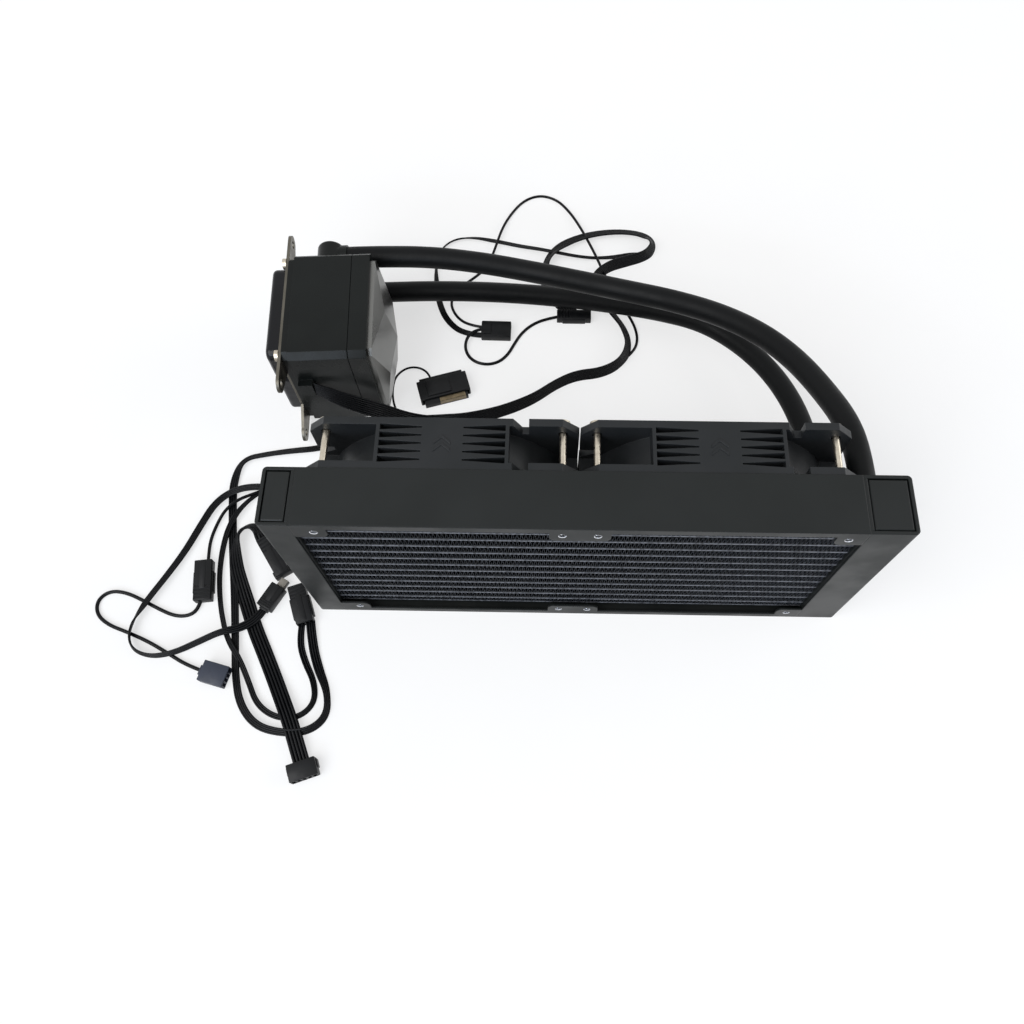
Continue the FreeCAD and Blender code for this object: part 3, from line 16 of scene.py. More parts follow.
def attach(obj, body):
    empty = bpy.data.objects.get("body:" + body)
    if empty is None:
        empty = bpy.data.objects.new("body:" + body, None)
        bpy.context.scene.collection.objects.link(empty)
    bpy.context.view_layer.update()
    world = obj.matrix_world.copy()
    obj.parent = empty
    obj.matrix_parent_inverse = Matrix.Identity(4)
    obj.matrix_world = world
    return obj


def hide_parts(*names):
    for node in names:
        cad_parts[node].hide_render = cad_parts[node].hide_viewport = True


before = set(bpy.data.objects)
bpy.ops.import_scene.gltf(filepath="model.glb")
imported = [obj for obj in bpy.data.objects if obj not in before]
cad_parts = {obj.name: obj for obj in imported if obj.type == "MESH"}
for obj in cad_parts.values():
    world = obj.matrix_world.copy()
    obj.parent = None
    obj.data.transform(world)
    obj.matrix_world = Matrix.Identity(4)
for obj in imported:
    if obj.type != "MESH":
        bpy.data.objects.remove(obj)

log = logging.getLogger("cooler")

# A millimetre, and the gaps in metres that are closed in one mesh and between copies of it
MM = 0.001
MERGE = 1e-6
COPY_MERGE = MERGE * 10

# Angles between faces from which an edge is rounded, and up to which it is shaded smooth
SHARP_EDGE = math.radians(40)
SMOOTH_EDGE = math.radians(35)
CORD_SMOOTH_EDGE = math.radians(60)

# How nearly a face looks one way, as a cosine, and how near a point is to a plane, in millimetres
FLAT_ON = 0.99
ROUGHLY_ON = 0.9
CLOSE = 0.01

Point = tuple[float, float, float]
Number = Union[float, "Signal"]


# Geometry helpers
def mm(values: Iterable[float]) -> Vector:
    """A point given in millimetres, in metres."""
    return Vector(values) * MM


def turned(start: Point, angle: float, along: float, across: float, rise: float) -> Point:
    """A point given along axes that are turned about the vertical.

    Args:
        start: where the axes meet, in millimetres.
        angle: their turn in degrees.
        along: millimetres along the first axis.
        across: millimetres along the second axis.
        rise: millimetres upwards.

    Returns:
        The point in the frame, in millimetres.
    """
    turn = math.radians(angle)
    return (start[0] + along * math.cos(turn) - across * math.sin(turn),
            start[1] + along * math.sin(turn) + across * math.cos(turn), start[2] + rise)


def add_object(name: str, data: bpy.types.ID) -> bpy.types.Object:
    """Adds an object with its data to the scene."""
    obj = bpy.data.objects.new(name, data)
    bpy.context.scene.collection.objects.link(obj)
    return obj


class Shape:
    """A mesh in hand, shaped with the edit operators and kept at the origin."""

    def __init__(self, obj: bpy.types.Object, name: str) -> None:
        """Takes a new object and names it."""
        self.obj = obj
        obj.name = name
        obj.data.name = name

    @staticmethod
    def drop() -> None:
        """Deselects every object."""
        if bpy.context.object is not None and bpy.context.object.mode != "OBJECT":
            bpy.ops.object.mode_set(mode="OBJECT")
        bpy.ops.object.select_all(action="DESELECT")

    @classmethod
    def block(cls, name: str, low: Point, high: Point) -> "Shape":
        """Adds a block between two corners.

        Args:
            name: name of the piece.
            low: lowest corner, in millimetres.
            high: highest corner, in millimetres.

        Returns:
            The block, with its place in its mesh.
        """
        cls.drop()
        middle = (mm(low) + mm(high)) / 2
        size = mm(high) - mm(low)
        bpy.ops.mesh.primitive_cube_add(size=1, location=middle, scale=size)
        shape = cls(bpy.context.object, name)
        return shape.settle()

    def settle(self) -> "Shape":
        """Moves the object's place, turn and scale into its mesh."""
        self.take()
        bpy.ops.object.transform_apply(location=True, rotation=True, scale=True)
        return self

    def take(self) -> "Shape":
        """Makes this the only selected object."""
        self.drop()
        self.obj.select_set(True)
        bpy.context.view_layer.objects.active = self.obj
        return self

    def pick(self, test: Callable[[Vector, Vector], bool]) -> "Shape":
        """Selects faces by a test.

        Args:
            test: takes a face's middle in millimetres and its normal.

        Returns:
            This shape, in edit mode with the chosen faces selected.
        """
        self.take()
        mesh = self.obj.data
        mesh.vertices.foreach_set("select", [False] * len(mesh.vertices))
        mesh.edges.foreach_set("select", [False] * len(mesh.edges))
        mesh.polygons.foreach_set("select", [test(p.center / MM, p.normal) for p in mesh.polygons])
        bpy.ops.object.mode_set(mode="EDIT")
        bpy.ops.mesh.select_mode(type="FACE")
        return self

    def pick_edges(self, test: Callable[[Vector, Vector], bool]) -> "Shape":
        """Selects edges by a test.

        Args:
            test: takes the two ends of an edge in millimetres.

        Returns:
            This shape, in edit mode with the chosen edges selected.
        """
        self.take()
        mesh = self.obj.data
        mesh.polygons.foreach_set("select", [False] * len(mesh.polygons))
        chosen = []
        for edge in mesh.edges:
            first, second = (mesh.vertices[n].co / MM for n in edge.vertices)
            chosen.append(test(first, second))
        mesh.vertices.foreach_set("select", [False] * len(mesh.vertices))
        mesh.edges.foreach_set("select", chosen)
        bpy.ops.object.mode_set(mode="EDIT")
        bpy.ops.mesh.select_mode(type="EDGE")
        return self

    def pick_all(self) -> "Shape":
        """Selects every face."""
        return self.pick(lambda middle, normal: True)

    def done(self) -> "Shape":
        """Leaves edit mode."""
        bpy.ops.object.mode_set(mode="OBJECT")
        return self

    def inset(self, width: float, depth: float = 0.0, each: bool = False) -> "Shape":
        """Insets the selected faces, in millimetres; each face by itself if asked."""
        bpy.ops.mesh.inset(thickness=width * MM, depth=depth * MM, use_individual=each)
        return self

    def extrude(self, way: Point) -> "Shape":
        """Extrudes the selected faces by a vector in millimetres."""
        bpy.ops.mesh.extrude_region_move(TRANSFORM_OT_translate={"value": mm(way)})
        return self

    def scale(self, factors: Point) -> "Shape":
        """Scales what is selected about its middle."""
        bpy.ops.transform.resize(value=factors)
        return self

    def slice(self, spot: Point, normal: Point) -> "Shape":
        """Cuts the selected faces with a plane, keeping both sides."""
        bpy.ops.mesh.bisect(plane_co=mm(spot), plane_no=normal)
        return self

    def soften(self, width: float, segments: int = 2) -> "Shape":
        """Rounds the sharp edges by a width in millimetres."""
        return self.modify("BEVEL", width=width * MM, segments=segments, limit_method="ANGLE",
                           angle_limit=SHARP_EDGE, harden_normals=False)

    def modify(self, kind: str, **settings: object) -> "Shape":
        """Adds a modifier with its settings and applies it."""
        self.take()
        modifier = self.obj.modifiers.new(kind.title(), kind)
        for name, value in settings.items():
            setattr(modifier, name, value)
        bpy.ops.object.modifier_apply(modifier=modifier.name)
        return self

    def move(self, matrix: Matrix) -> "Shape":
        """Moves the mesh by a matrix in metres."""
        self.take()
        self.obj.matrix_world = matrix
        return self.settle()

    def copy(self, name: str, matrix: Matrix) -> "Shape":
        """Copies the piece with a mesh of its own and moves the copy."""
        self.take()
        bpy.ops.object.duplicate(linked=False)
        return Shape(bpy.context.object, name).move(matrix)

    def join(self, others: Sequence["Shape"]) -> "Shape":
        """Joins other shapes into this one."""
        self.drop()
        for other in others:
            other.obj.select_set(True)
        self.obj.select_set(True)
        bpy.context.view_layer.objects.active = self.obj
        bpy.ops.object.join()
        return self

    def face_out(self) -> "Shape":
        """Turns every face outwards."""
        self.pick_all()
        bpy.ops.mesh.normals_make_consistent(inside=False)
        return self.done()

    def tidy(self) -> "Shape":
        """Merges doubles, turns the faces outwards and smooths gentle edges."""
        self.pick_all()
        bpy.ops.mesh.remove_doubles(threshold=MERGE)
        self.done().face_out()
        bpy.ops.object.shade_smooth_by_angle(angle=SMOOTH_EDGE)
        return self

    def dress(self, material: bpy.types.Material, slot: str, body: str = "base",
              replaces: Sequence[str] = ()) -> bpy.types.Object:
        """Gives the piece its finish and its body.

        Args:
            material: its finish.
            slot: name of its material slot; not used.
            body: the body it rides on.
            replaces: nodes that it stands for.

        Returns:
            The Blender object.
        """
        self.drop()
        self.obj.data.materials.clear()
        self.obj.data.materials.append(material)
        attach(self.obj, body)
        if replaces:
            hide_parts(*replaces)
        log.info("%s: %d faces on %s", self.obj.name, len(self.obj.data.polygons), body)
        return self.obj


# Shader graphs
class Signal:
    """A socket of a shader graph that takes part in arithmetic."""

    def __init__(self, graph: "Graph", socket: bpy.types.NodeSocket) -> None:
        """Wraps a socket of a graph."""
        self.graph = graph
        self.socket = socket

    def maths(self, operation: str, *values: Number) -> "Signal":
        """Adds a Math node.

        Args:
            operation: the node's operation.
            values: its inputs in order.

        Returns:
            The node's result.
        """
        inputs = dict(enumerate(values))
        return self.graph.node("ShaderNodeMath", {"operation": operation}, inputs)

    def __add__(self, other: Number) -> "Signal":
        """Sum."""
        return self.maths("ADD", self, other)

    def __radd__(self, other: Number) -> "Signal":
        """Sum, reflected."""
        return self.maths("ADD", other, self)

    def __sub__(self, other: Number) -> "Signal":
        """Difference."""
        return self.maths("SUBTRACT", self, other)

    def __rsub__(self, other: Number) -> "Signal":
        """Difference, reflected."""
        return self.maths("SUBTRACT", other, self)

    def __mul__(self, other: Number) -> "Signal":
        """Product."""
        return self.maths("MULTIPLY", self, other)

    def __rmul__(self, other: Number) -> "Signal":
        """Product, reflected."""
        return self.maths("MULTIPLY", other, self)

    def __abs__(self) -> "Signal":
        """Size without sign."""
        return self.maths("ABSOLUTE", self)

    def wave(self) -> "Signal":
        """Sine of the value."""
        return self.maths("SINE", self)

    def clamp(self) -> "Signal":
        """The value held between 0 and 1."""
        return self.maths("MINIMUM", self.maths("MAXIMUM", self, 0.0), 1.0)

    def ramp(self, low: float, high: float, start: float = 0.0, end: float = 1.0) -> "Signal":
        """A smooth step from start to end while the value goes from low to high."""
        return self.graph.node("ShaderNodeMapRange", {"interpolation_type": "SMOOTHSTEP"},
                               {"Value": self, "From Min": low, "From Max": high,
                                "To Min": start, "To Max": end})


class Graph:
    """The node tree of one material, or of the world."""

    def __init__(self, name: str = "", tree: Optional[bpy.types.NodeTree] = None) -> None:
        """Empties a node tree, that of a new material where none is given."""
        if tree is None:
            self.material = bpy.data.materials.new(name)
            self.material.use_nodes = True
            tree = self.material.node_tree
        self.tree = tree
        self.tree.nodes.clear()

    def node(self, kind: str, settings: Optional[dict] = None, inputs: Optional[dict] = None,
             output: Union[int, str] = 0) -> Signal:
        """Adds a node.

        Args:
            kind: the node's type.
            settings: its own settings, set first.
            inputs: values or signals by socket name or number.
            output: name or number of the output to return.

        Returns:
            The chosen output.
        """
        made = self.tree.nodes.new(kind)
        for name, value in (settings or {}).items():
            setattr(made, name, value)
        for name, value in (inputs or {}).items():
            if isinstance(value, Signal):
                self.tree.links.new(value.socket, made.inputs[name])
            else:
                made.inputs[name].default_value = value
        return Signal(self, made.outputs[output] if len(made.outputs) else made.inputs[0])

    def place(self) -> Signal:
        """The point on the surface, in the part's own frame and metres."""
        return self.node("ShaderNodeTexCoord", output="Object")

    def split(self, vector: Signal) -> tuple[Signal, Signal, Signal]:
        """The three parts of a vector."""
        first = self.node("ShaderNodeSeparateXYZ", inputs={"Vector": vector})
        outputs = first.socket.node.outputs
        return first, Signal(self, outputs[1]), Signal(self, outputs[2])

    def noise(self, vector: Signal, period: float, detail: float = 2.0, rough: float = 0.5) -> Signal:
        """Soft noise whose lumps are about a period of millimetres across."""
        return self.node("ShaderNodeTexNoise", inputs={
            "Vector": vector, "Scale": 1 / (period * MM), "Detail": detail, "Roughness": rough},
            output="Fac")

    def stretch(self, vector: Signal, factors: Point) -> Signal:
        """The vector scaled along each axis."""
        return self.node("ShaderNodeVectorMath", {"operation": "MULTIPLY"}, {0: vector, 1: factors})

    def blend(self, factor: Number, first: Union[tuple, Signal],
              second: Union[tuple, Signal]) -> Signal:
        """Mixes two colours by a factor."""
        made = self.tree.nodes.new("ShaderNodeMix")
        made.data_type = "RGBA"
        for name, value in (("Factor_Float", factor), ("A_Color", first), ("B_Color", second)):
            socket = next(item for item in made.inputs if item.identifier == name)
            if isinstance(value, Signal):
                self.tree.links.new(value.socket, socket)
            elif isinstance(value, tuple):
                socket.default_value = (*value, 1.0)
            else:
                socket.default_value = value
        return Signal(self, next(item for item in made.outputs if item.identifier == "Result_Color"))

    def seen(self) -> Signal:
        """One for rays that show the background: from the camera, a gloss or something clear."""
        rays = self.node("ShaderNodeLightPath", output="Is Camera Ray")
        outputs = rays.socket.node.outputs
        through = Signal(self, outputs["Is Transmission Ray"])
        return (rays + Signal(self, outputs["Is Glossy Ray"]) + through).clamp()

    def surface(self, **inputs: object) -> bpy.types.Material:
        """Ends the graph in a shader with the named inputs, underscores for spaces."""
        named = {name.replace("_", " "): value for name, value in inputs.items()}
        shader = self.node("ShaderNodeBsdfPrincipled", inputs=named)
        self.node("ShaderNodeOutputMaterial", inputs={"Surface": shader})
        return self.material


# Finishes
COLOUR_BAND = (0.35, 0.65)
GLOSS_BAND = (0.3, 0.7)
GLOSS_PATCH = 0.4


@dataclass(frozen=True)
class Finish:
    """A surface with a soft colour change, a fine grain and slightly rounded edges."""

    name: str
    colour: Point
    shade: Point
    rough: float = 0.5
    rough_spread: float = 0.08
    metallic: float = 0.0
    patch: float = 30.0
    grain: float = 0.35
    grain_depth: float = 0.02
    edge: float = 0.3
    specular: float = 0.5
    bevel_samples: int = 4

    def tint(self, graph: Graph, spot: Signal) -> Signal:
        """The colour over the surface."""
        return graph.blend(graph.noise(spot, self.patch).ramp(*COLOUR_BAND), self.colour, self.shade)

    def gloss(self, graph: Graph, spot: Signal) -> Signal:
        """The roughness over the surface."""
        low, high = self.rough - self.rough_spread, self.rough + self.rough_spread
        return graph.noise(spot, self.patch * GLOSS_PATCH, 4.0).ramp(*GLOSS_BAND, low, high)

    def height(self, graph: Graph, spot: Signal) -> Signal:
        """The fine relief over the surface, from 0 to 1."""
        return graph.noise(spot, self.grain, 3.0)

    def relief(self, graph: Graph, spot: Signal) -> Signal:
        """The normal with its grain and its rounded edges."""
        inputs: dict = {"Height": self.height(graph, spot), "Distance": self.grain_depth * MM,
                        "Strength": 1.0}
        if self.edge:
            inputs["Normal"] = graph.node("ShaderNodeBevel", {"samples": self.bevel_samples},
                                          {"Radius": self.edge * MM})
        return graph.node("ShaderNodeBump", inputs=inputs)

    def extra(self) -> dict:
        """Uniform numbers of the shader that only some finishes set."""
        return {}

    def made(self) -> bpy.types.Material:
        """Builds the material once and returns it."""
        known = bpy.data.materials.get(self.name)
        if known is not None:
            return known
        graph = Graph(self.name)
        spot = graph.place()
        return graph.surface(Base_Color=self.tint(graph, spot), Roughness=self.gloss(graph, spot),
                             Metallic=self.metallic, Normal=self.relief(graph, spot),
                             Specular_IOR_Level=self.specular, **self.extra())


@dataclass(frozen=True)
class CoreFinish(Finish):
    """Thin paint on the fins and tubes, with a painted highlight along their front and back edges,
    broken into dots.
    """

    # Colour of the painted highlight along the outer edges (bare), then where it starts and how it
    # fades, and the size and spread of its dots
    bare: Point = (0.32, 0.34, 0.38)
    front: float = 10.05
    fade: float = 0.35
    glint_dot_size: float = 1.2
    glint_dot_band: tuple[float, float] = (0.35, 0.6)
    dimmest_glint: float = 0.35

    def tint(self, graph: Graph, spot: Signal) -> Signal:
        """Dark paint inside the core, with a painted highlight along the edges that face out."""
        _, depth, _ = graph.split(spot)
        # Painted highlight: pale towards the front and back faces, broken into dots by noise
        glint_band = abs(depth).ramp((self.front - self.fade) * MM, self.front * MM)
        glint_dots = graph.noise(spot, self.glint_dot_size, 3.0).ramp(*self.glint_dot_band, self.dimmest_glint, 1.0)
        return graph.blend(glint_band * glint_dots, self.colour, self.bare)


@dataclass(frozen=True)
class BrushedFinish(Finish):
    """Metal with fine lines along one direction."""

    lines: Point = (1.0, 1.0, 30.0)
    line_length: float = 8

    def height(self, graph: Graph, spot: Signal) -> Signal:
        """Long fine scratches."""
        return graph.noise(graph.stretch(spot, self.lines), self.grain * self.line_length, 4.0)


@dataclass(frozen=True)
class WovenFinish(Finish):
    """A close rubber skin with faint lines along it, read from the piece's own map."""

    around: float = 40.0
    ribs: float = 900.0

    def height(self, graph: Graph, spot: Signal) -> Signal:
        """Crossed helical lines of a fine sleeve."""
        along, side, _ = graph.split(graph.node("ShaderNodeTexCoord", output="UV"))
        first = (along * self.ribs + side * (self.around * math.tau)).wave()
        second = (along * self.ribs - side * (self.around * math.tau)).wave()
        return (first * second + 1.0) * 0.5


@dataclass(frozen=True)
class CopperWire(Finish):
    """Enamelled wire laid in tight turns."""

    wire: float = 0.45
    slant: float = 0.6

    def height(self, graph: Graph, spot: Signal) -> Signal:
        """Rows of wire one beside another."""
        x, y, z = graph.split(spot)
        return ((x + y * self.slant + z) * (math.tau / (self.wire * MM))).wave() * 0.5 + 0.5


@dataclass(frozen=True)
class SmokedPlastic(Finish):
    """Dark see-through plastic."""

    clear: float = 0.06
    bending: float = 1.49

    def extra(self) -> dict:
        """Part of the light goes through."""
        return {"Transmission_Weight": self.clear, "IOR": self.bending}


POWDER = Finish("radiator_powder_coat", (0.0085, 0.0102, 0.01), (0.0105, 0.0122, 0.0122), rough=0.42,
                patch=60, grain=0.5, grain_depth=0.012, edge=0.8, specular=0.24)
# The core and tubes carry a painted highlight along their front and back edges; bare is its pale
# colour
CORE = CoreFinish("core_thin_paint", (0.003, 0.0034, 0.0046), (0.0045, 0.005, 0.0064), rough=0.45,
                  grain=0.4, grain_depth=0.01, edge=0.0, specular=0.17, bare=(0.085, 0.094, 0.112))
TUBES = CoreFinish("tube_thin_paint", (0.0045, 0.005, 0.0065), (0.006, 0.007, 0.009), rough=0.36,
                   grain=0.6, grain_depth=0.008, edge=0.0, specular=0.25, bare=(0.17, 0.178, 0.2),
                   fade=0.3)
FAN_PLASTIC = Finish("fan_moulded_plastic", (0.0105, 0.0122, 0.0135), (0.014, 0.0155, 0.017),
                     rough=0.44, patch=25, grain=0.3, grain_depth=0.01, edge=0.5, specular=0.26)
ROTOR_PLASTIC = Finish("rotor_moulded_plastic", (0.0095, 0.01, 0.0115), (0.0125, 0.013, 0.0145),
                       rough=0.38, patch=20, grain=0.4, grain_depth=0.006, edge=0.25, specular=0.25)
PUMP_PLASTIC = Finish("pump_satin_plastic", (0.0042, 0.0055, 0.0052), (0.0056, 0.0071, 0.0068),
                      rough=0.34, patch=40, grain=0.25, grain_depth=0.006, edge=0.3, specular=0.17)
MIRROR = Finish("cap_mirror_plastic", (0.162, 0.163, 0.157), (0.18, 0.181, 0.175), rough=0.3,
                rough_spread=0.03, patch=60, grain=2.0, grain_depth=0.002, edge=0.15, metallic=1.0)
SMOKED = SmokedPlastic("cover_smoked_plastic", (0.004, 0.0045, 0.006), (0.006, 0.0065, 0.0085),
                       rough=0.16, rough_spread=0.05, patch=30, grain=9, grain_depth=0.25, edge=0.6,
                       specular=0.2)
RUBBER = WovenFinish("hose_rubber_sleeve", (0.0045, 0.005, 0.0055), (0.006, 0.0065, 0.007),
                     rough=0.46, patch=35, grain_depth=0.035, edge=0.0, specular=0.115)
CABLE = Finish("cable_vinyl", (0.0028, 0.0032, 0.004), (0.004, 0.0044, 0.0054), rough=0.28, patch=12,
               grain=0.5, grain_depth=0.006, edge=0.0, specular=0.14)
NYLON = Finish("connector_nylon", (0.0052, 0.0057, 0.0064), (0.0075, 0.008, 0.009), rough=0.4,
               patch=10, grain=0.25, grain_depth=0.008, edge=0.2, specular=0.2)
SLATE_NYLON = Finish("coupler_slate_nylon", (0.026, 0.031, 0.046), (0.032, 0.038, 0.056), rough=0.4,
                     patch=10, grain=0.25, grain_depth=0.008, edge=0.2, specular=0.3)
PALE_NYLON = Finish("contact_block_nylon", (0.2, 0.185, 0.16), (0.25, 0.23, 0.2), rough=0.42, patch=6,
                    grain=0.25, grain_depth=0.008, edge=0.2, specular=0.3)
NICKEL = BrushedFinish("screw_nickel", (0.5, 0.45, 0.37), (0.58, 0.53, 0.44), rough=0.34,
                       metallic=1.0, patch=4, grain=0.1, grain_depth=0.001, edge=0.15,
                       lines=(1.0, 6.0, 1.0))
THREAD = BrushedFinish("thread_bare_metal", (0.72, 0.74, 0.78), (0.8, 0.82, 0.86), rough=0.2,
                       metallic=1.0, patch=3, grain=0.2, grain_depth=0.004, edge=0.0)
SHAFT = BrushedFinish("shaft_ground_steel", (0.6, 0.6, 0.61), (0.66, 0.66, 0.67), rough=0.25,
                      metallic=1.0, patch=5, grain=0.1, grain_depth=0.003, edge=0.1,
                      lines=(20.0, 1.0, 20.0))
STEEL = BrushedFinish("bracket_steel_sheet", (0.105, 0.098, 0.082), (0.145, 0.136, 0.115), rough=0.42,
                      metallic=1.0, patch=18, grain=0.15, grain_depth=0.008, edge=0.3,
                      lines=(1.0, 1.0, 14.0))
BRONZE = Finish("bearing_bronze", (0.5, 0.32, 0.14), (0.58, 0.38, 0.18), rough=0.4, metallic=1.0,
                patch=3, grain=0.2, grain_depth=0.01, edge=0.15)
COPPER = BrushedFinish("plate_machined_copper", (0.72, 0.32, 0.2), (0.78, 0.38, 0.25), rough=0.28,
                       metallic=1.0, patch=20, grain=0.1, grain_depth=0.004, edge=0.2,
                       lines=(1.0, 20.0, 1.0))
WINDINGS = CopperWire("stator_enamelled_wire", (0.36, 0.12, 0.045), (0.45, 0.17, 0.06), rough=0.3,
                      metallic=0.8, patch=6, grain_depth=0.12, edge=0.0)
BOARD = Finish("board_green_mask", (0.006, 0.05, 0.022), (0.009, 0.065, 0.03), rough=0.3, patch=2.5,
               grain=1.2, grain_depth=0.03, edge=0.1)
IMPELLER = Finish("impeller_pale_plastic", (0.5, 0.49, 0.45), (0.56, 0.55, 0.51), rough=0.45, patch=6,
                  grain=0.3, grain_depth=0.01, edge=0.2)
TAN_CONTACT = BrushedFinish("contact_tan_metal", (0.17, 0.135, 0.085), (0.23, 0.18, 0.11), rough=0.38,
                            metallic=0.9, patch=2, grain=0.2, grain_depth=0.004, edge=0.1)


def dress_nodes(finish: Finish, *nodes: str) -> None:
    """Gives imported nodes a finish.

    Args:
        finish: their finish.
        nodes: names of the nodes.
    """
    for name in nodes:
        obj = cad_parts[name]
        obj.data.materials.clear()
        obj.data.materials.append(finish.made())
        log.info("%s: %s", name, finish.name)


# Camera, lights and floor
@dataclass(frozen=True)
class Lamp:
    """A soft rectangular lamp: its place, aim and sides in millimetres, and its power in watts."""

    name: str
    spot: Point
    aim: Point
    size: tuple[float, float]
    power: float
    tint: Point = (1.0, 1.0, 1.0)

    def build(self) -> None:
        """Adds the lamp."""
        data = bpy.data.lights.new(self.name, "AREA")
        data.shape = "RECTANGLE"
        data.size = self.size[0] * MM
        data.size_y = self.size[1] * MM
        data.energy = self.power
        data.color = self.tint
        turn = (mm(self.aim) - mm(self.spot)).to_track_quat("-Z", "Y").to_matrix().to_4x4()
        add_object(self.name, data).matrix_world = Matrix.Translation(mm(self.spot)) @ turn


@dataclass
class Studio:
    """A camera at the photograph's angle over a plain pale floor in soft light."""

    spot: Point = (-13.62, -150.76, 461.73)
    azimuth: float = -1.58
    elevation: float = 66.58
    roll: float = -0.62
    focal_px: float = 891.84
    centre_px: tuple[float, float] = (538.51, 505.54)
    frame_px: float = 1024
    sensor: float = 36
    clip: tuple[float, float] = (0.01, 50)
    lamps: tuple[Lamp, ...] = (
        Lamp("key", (-900, -650, 1350), (0, 40, 0), (1300, 1300), 20),
        Lamp("front_lamp", (-420, -1250, 760), (-40, 60, 40), (1300, 420), 8.5, (0.72, 0.84, 1.0)),
        Lamp("side_fill", (1500, 300, 700), (60, 40, 40), (900, 700), 7))
    surround: Point = (0.95, 0.97, 1.0)
    surround_strength: float = 0.42
    floor_size: float = 8000
    paper: Point = (0.95, 0.95, 0.95)
    paper_shade: Point = (0.98, 0.98, 0.98)
    paper_grain: float = 40
    floor_bounce: Point = (0.42, 0.42, 0.42)
    glow: tuple[float, float] = (0.62, 1.0)
    glow_reach: tuple[float, float] = (0.5, 4.0)

    def camera(self) -> None:
        """Adds the camera."""
        data = bpy.data.cameras.new("camera")
        data.sensor_width = self.sensor
        data.lens = self.focal_px * self.sensor / self.frame_px
        half = self.frame_px / 2
        data.shift_x = (half - self.centre_px[0]) / self.frame_px
        data.shift_y = (self.centre_px[1] - half) / self.frame_px
        data.clip_start, data.clip_end = self.clip
        az, el, roll = (math.radians(angle) for angle in (self.azimuth, self.elevation, self.roll))
        ahead = Vector((math.sin(az) * math.cos(el), math.cos(az) * math.cos(el), -math.sin(el)))
        flat_right = Vector((math.cos(az), -math.sin(az), 0))
        flat_up = flat_right.cross(ahead)
        right = flat_right * math.cos(roll) + flat_up * math.sin(roll)
        up = flat_up * math.cos(roll) - flat_right * math.sin(roll)
        turn = Matrix((right, up, -ahead)).transposed().to_4x4()
        obj = add_object("camera", data)
        obj.matrix_world = Matrix.Translation(mm(self.spot)) @ turn
        bpy.context.scene.camera = obj

    def world(self) -> None:
        """Adds the dim surround, which looks white from the camera and in glossy things."""
        world = bpy.data.worlds.new("surround")
        bpy.context.scene.world = world
        world.use_nodes = True
        graph = Graph(tree=world.node_tree)
        dim = graph.node("ShaderNodeBackground", inputs={
            "Color": (*self.surround, 1), "Strength": self.surround_strength})
        white = graph.node("ShaderNodeBackground", inputs={"Color": (1, 1, 1, 1), "Strength": 1.0})
        mixed = graph.node("ShaderNodeMixShader", inputs={0: graph.seen(), 1: dim, 2: white})
        graph.node("ShaderNodeOutputWorld", inputs={"Surface": mixed})

    def floor(self) -> None:
        """Adds the floor, near white to the camera with the object's shadow, and white far off."""
        Shape.drop()
        bpy.ops.mesh.primitive_plane_add(size=self.floor_size * MM, location=(0, 0, 0))
        floor = bpy.context.object
        floor.name = "floor"
        graph = Graph("floor_paper")
        spot = graph.place()
        grain = graph.noise(spot, self.paper_grain, 3.0)
        paper = graph.node("ShaderNodeBsdfDiffuse", inputs={
            "Color": graph.blend(grain, self.paper, self.paper_shade), "Roughness": 1.0})
        dark = graph.node("ShaderNodeBsdfDiffuse", inputs={"Color": (*self.floor_bounce, 1)})
        glow = graph.node("ShaderNodeEmission", inputs={"Color": (1, 1, 1, 1), "Strength": 1.0})
        x, y, _ = graph.split(spot)
        far = (x * x + y * y).ramp(*self.glow_reach, *self.glow)
        shown = graph.node("ShaderNodeMixShader", inputs={0: far, 1: paper, 2: glow})
        mixed = graph.node("ShaderNodeMixShader", inputs={0: graph.seen(), 1: dark, 2: shown})
        graph.node("ShaderNodeOutputMaterial", inputs={"Surface": mixed})
        floor.data.materials.append(graph.material)

    def build(self) -> None:
        """Sets up the whole studio."""
        self.camera()
        for lamp in self.lamps:
            lamp.build()
        self.world()
        self.floor()
        bpy.context.scene.view_settings.view_transform = "Standard"
        log.info("studio ready")


# Connectors
class End(Enum):
    """The side of a connector where its contacts are."""

    AHEAD = "ahead"
    SIDE = "side"


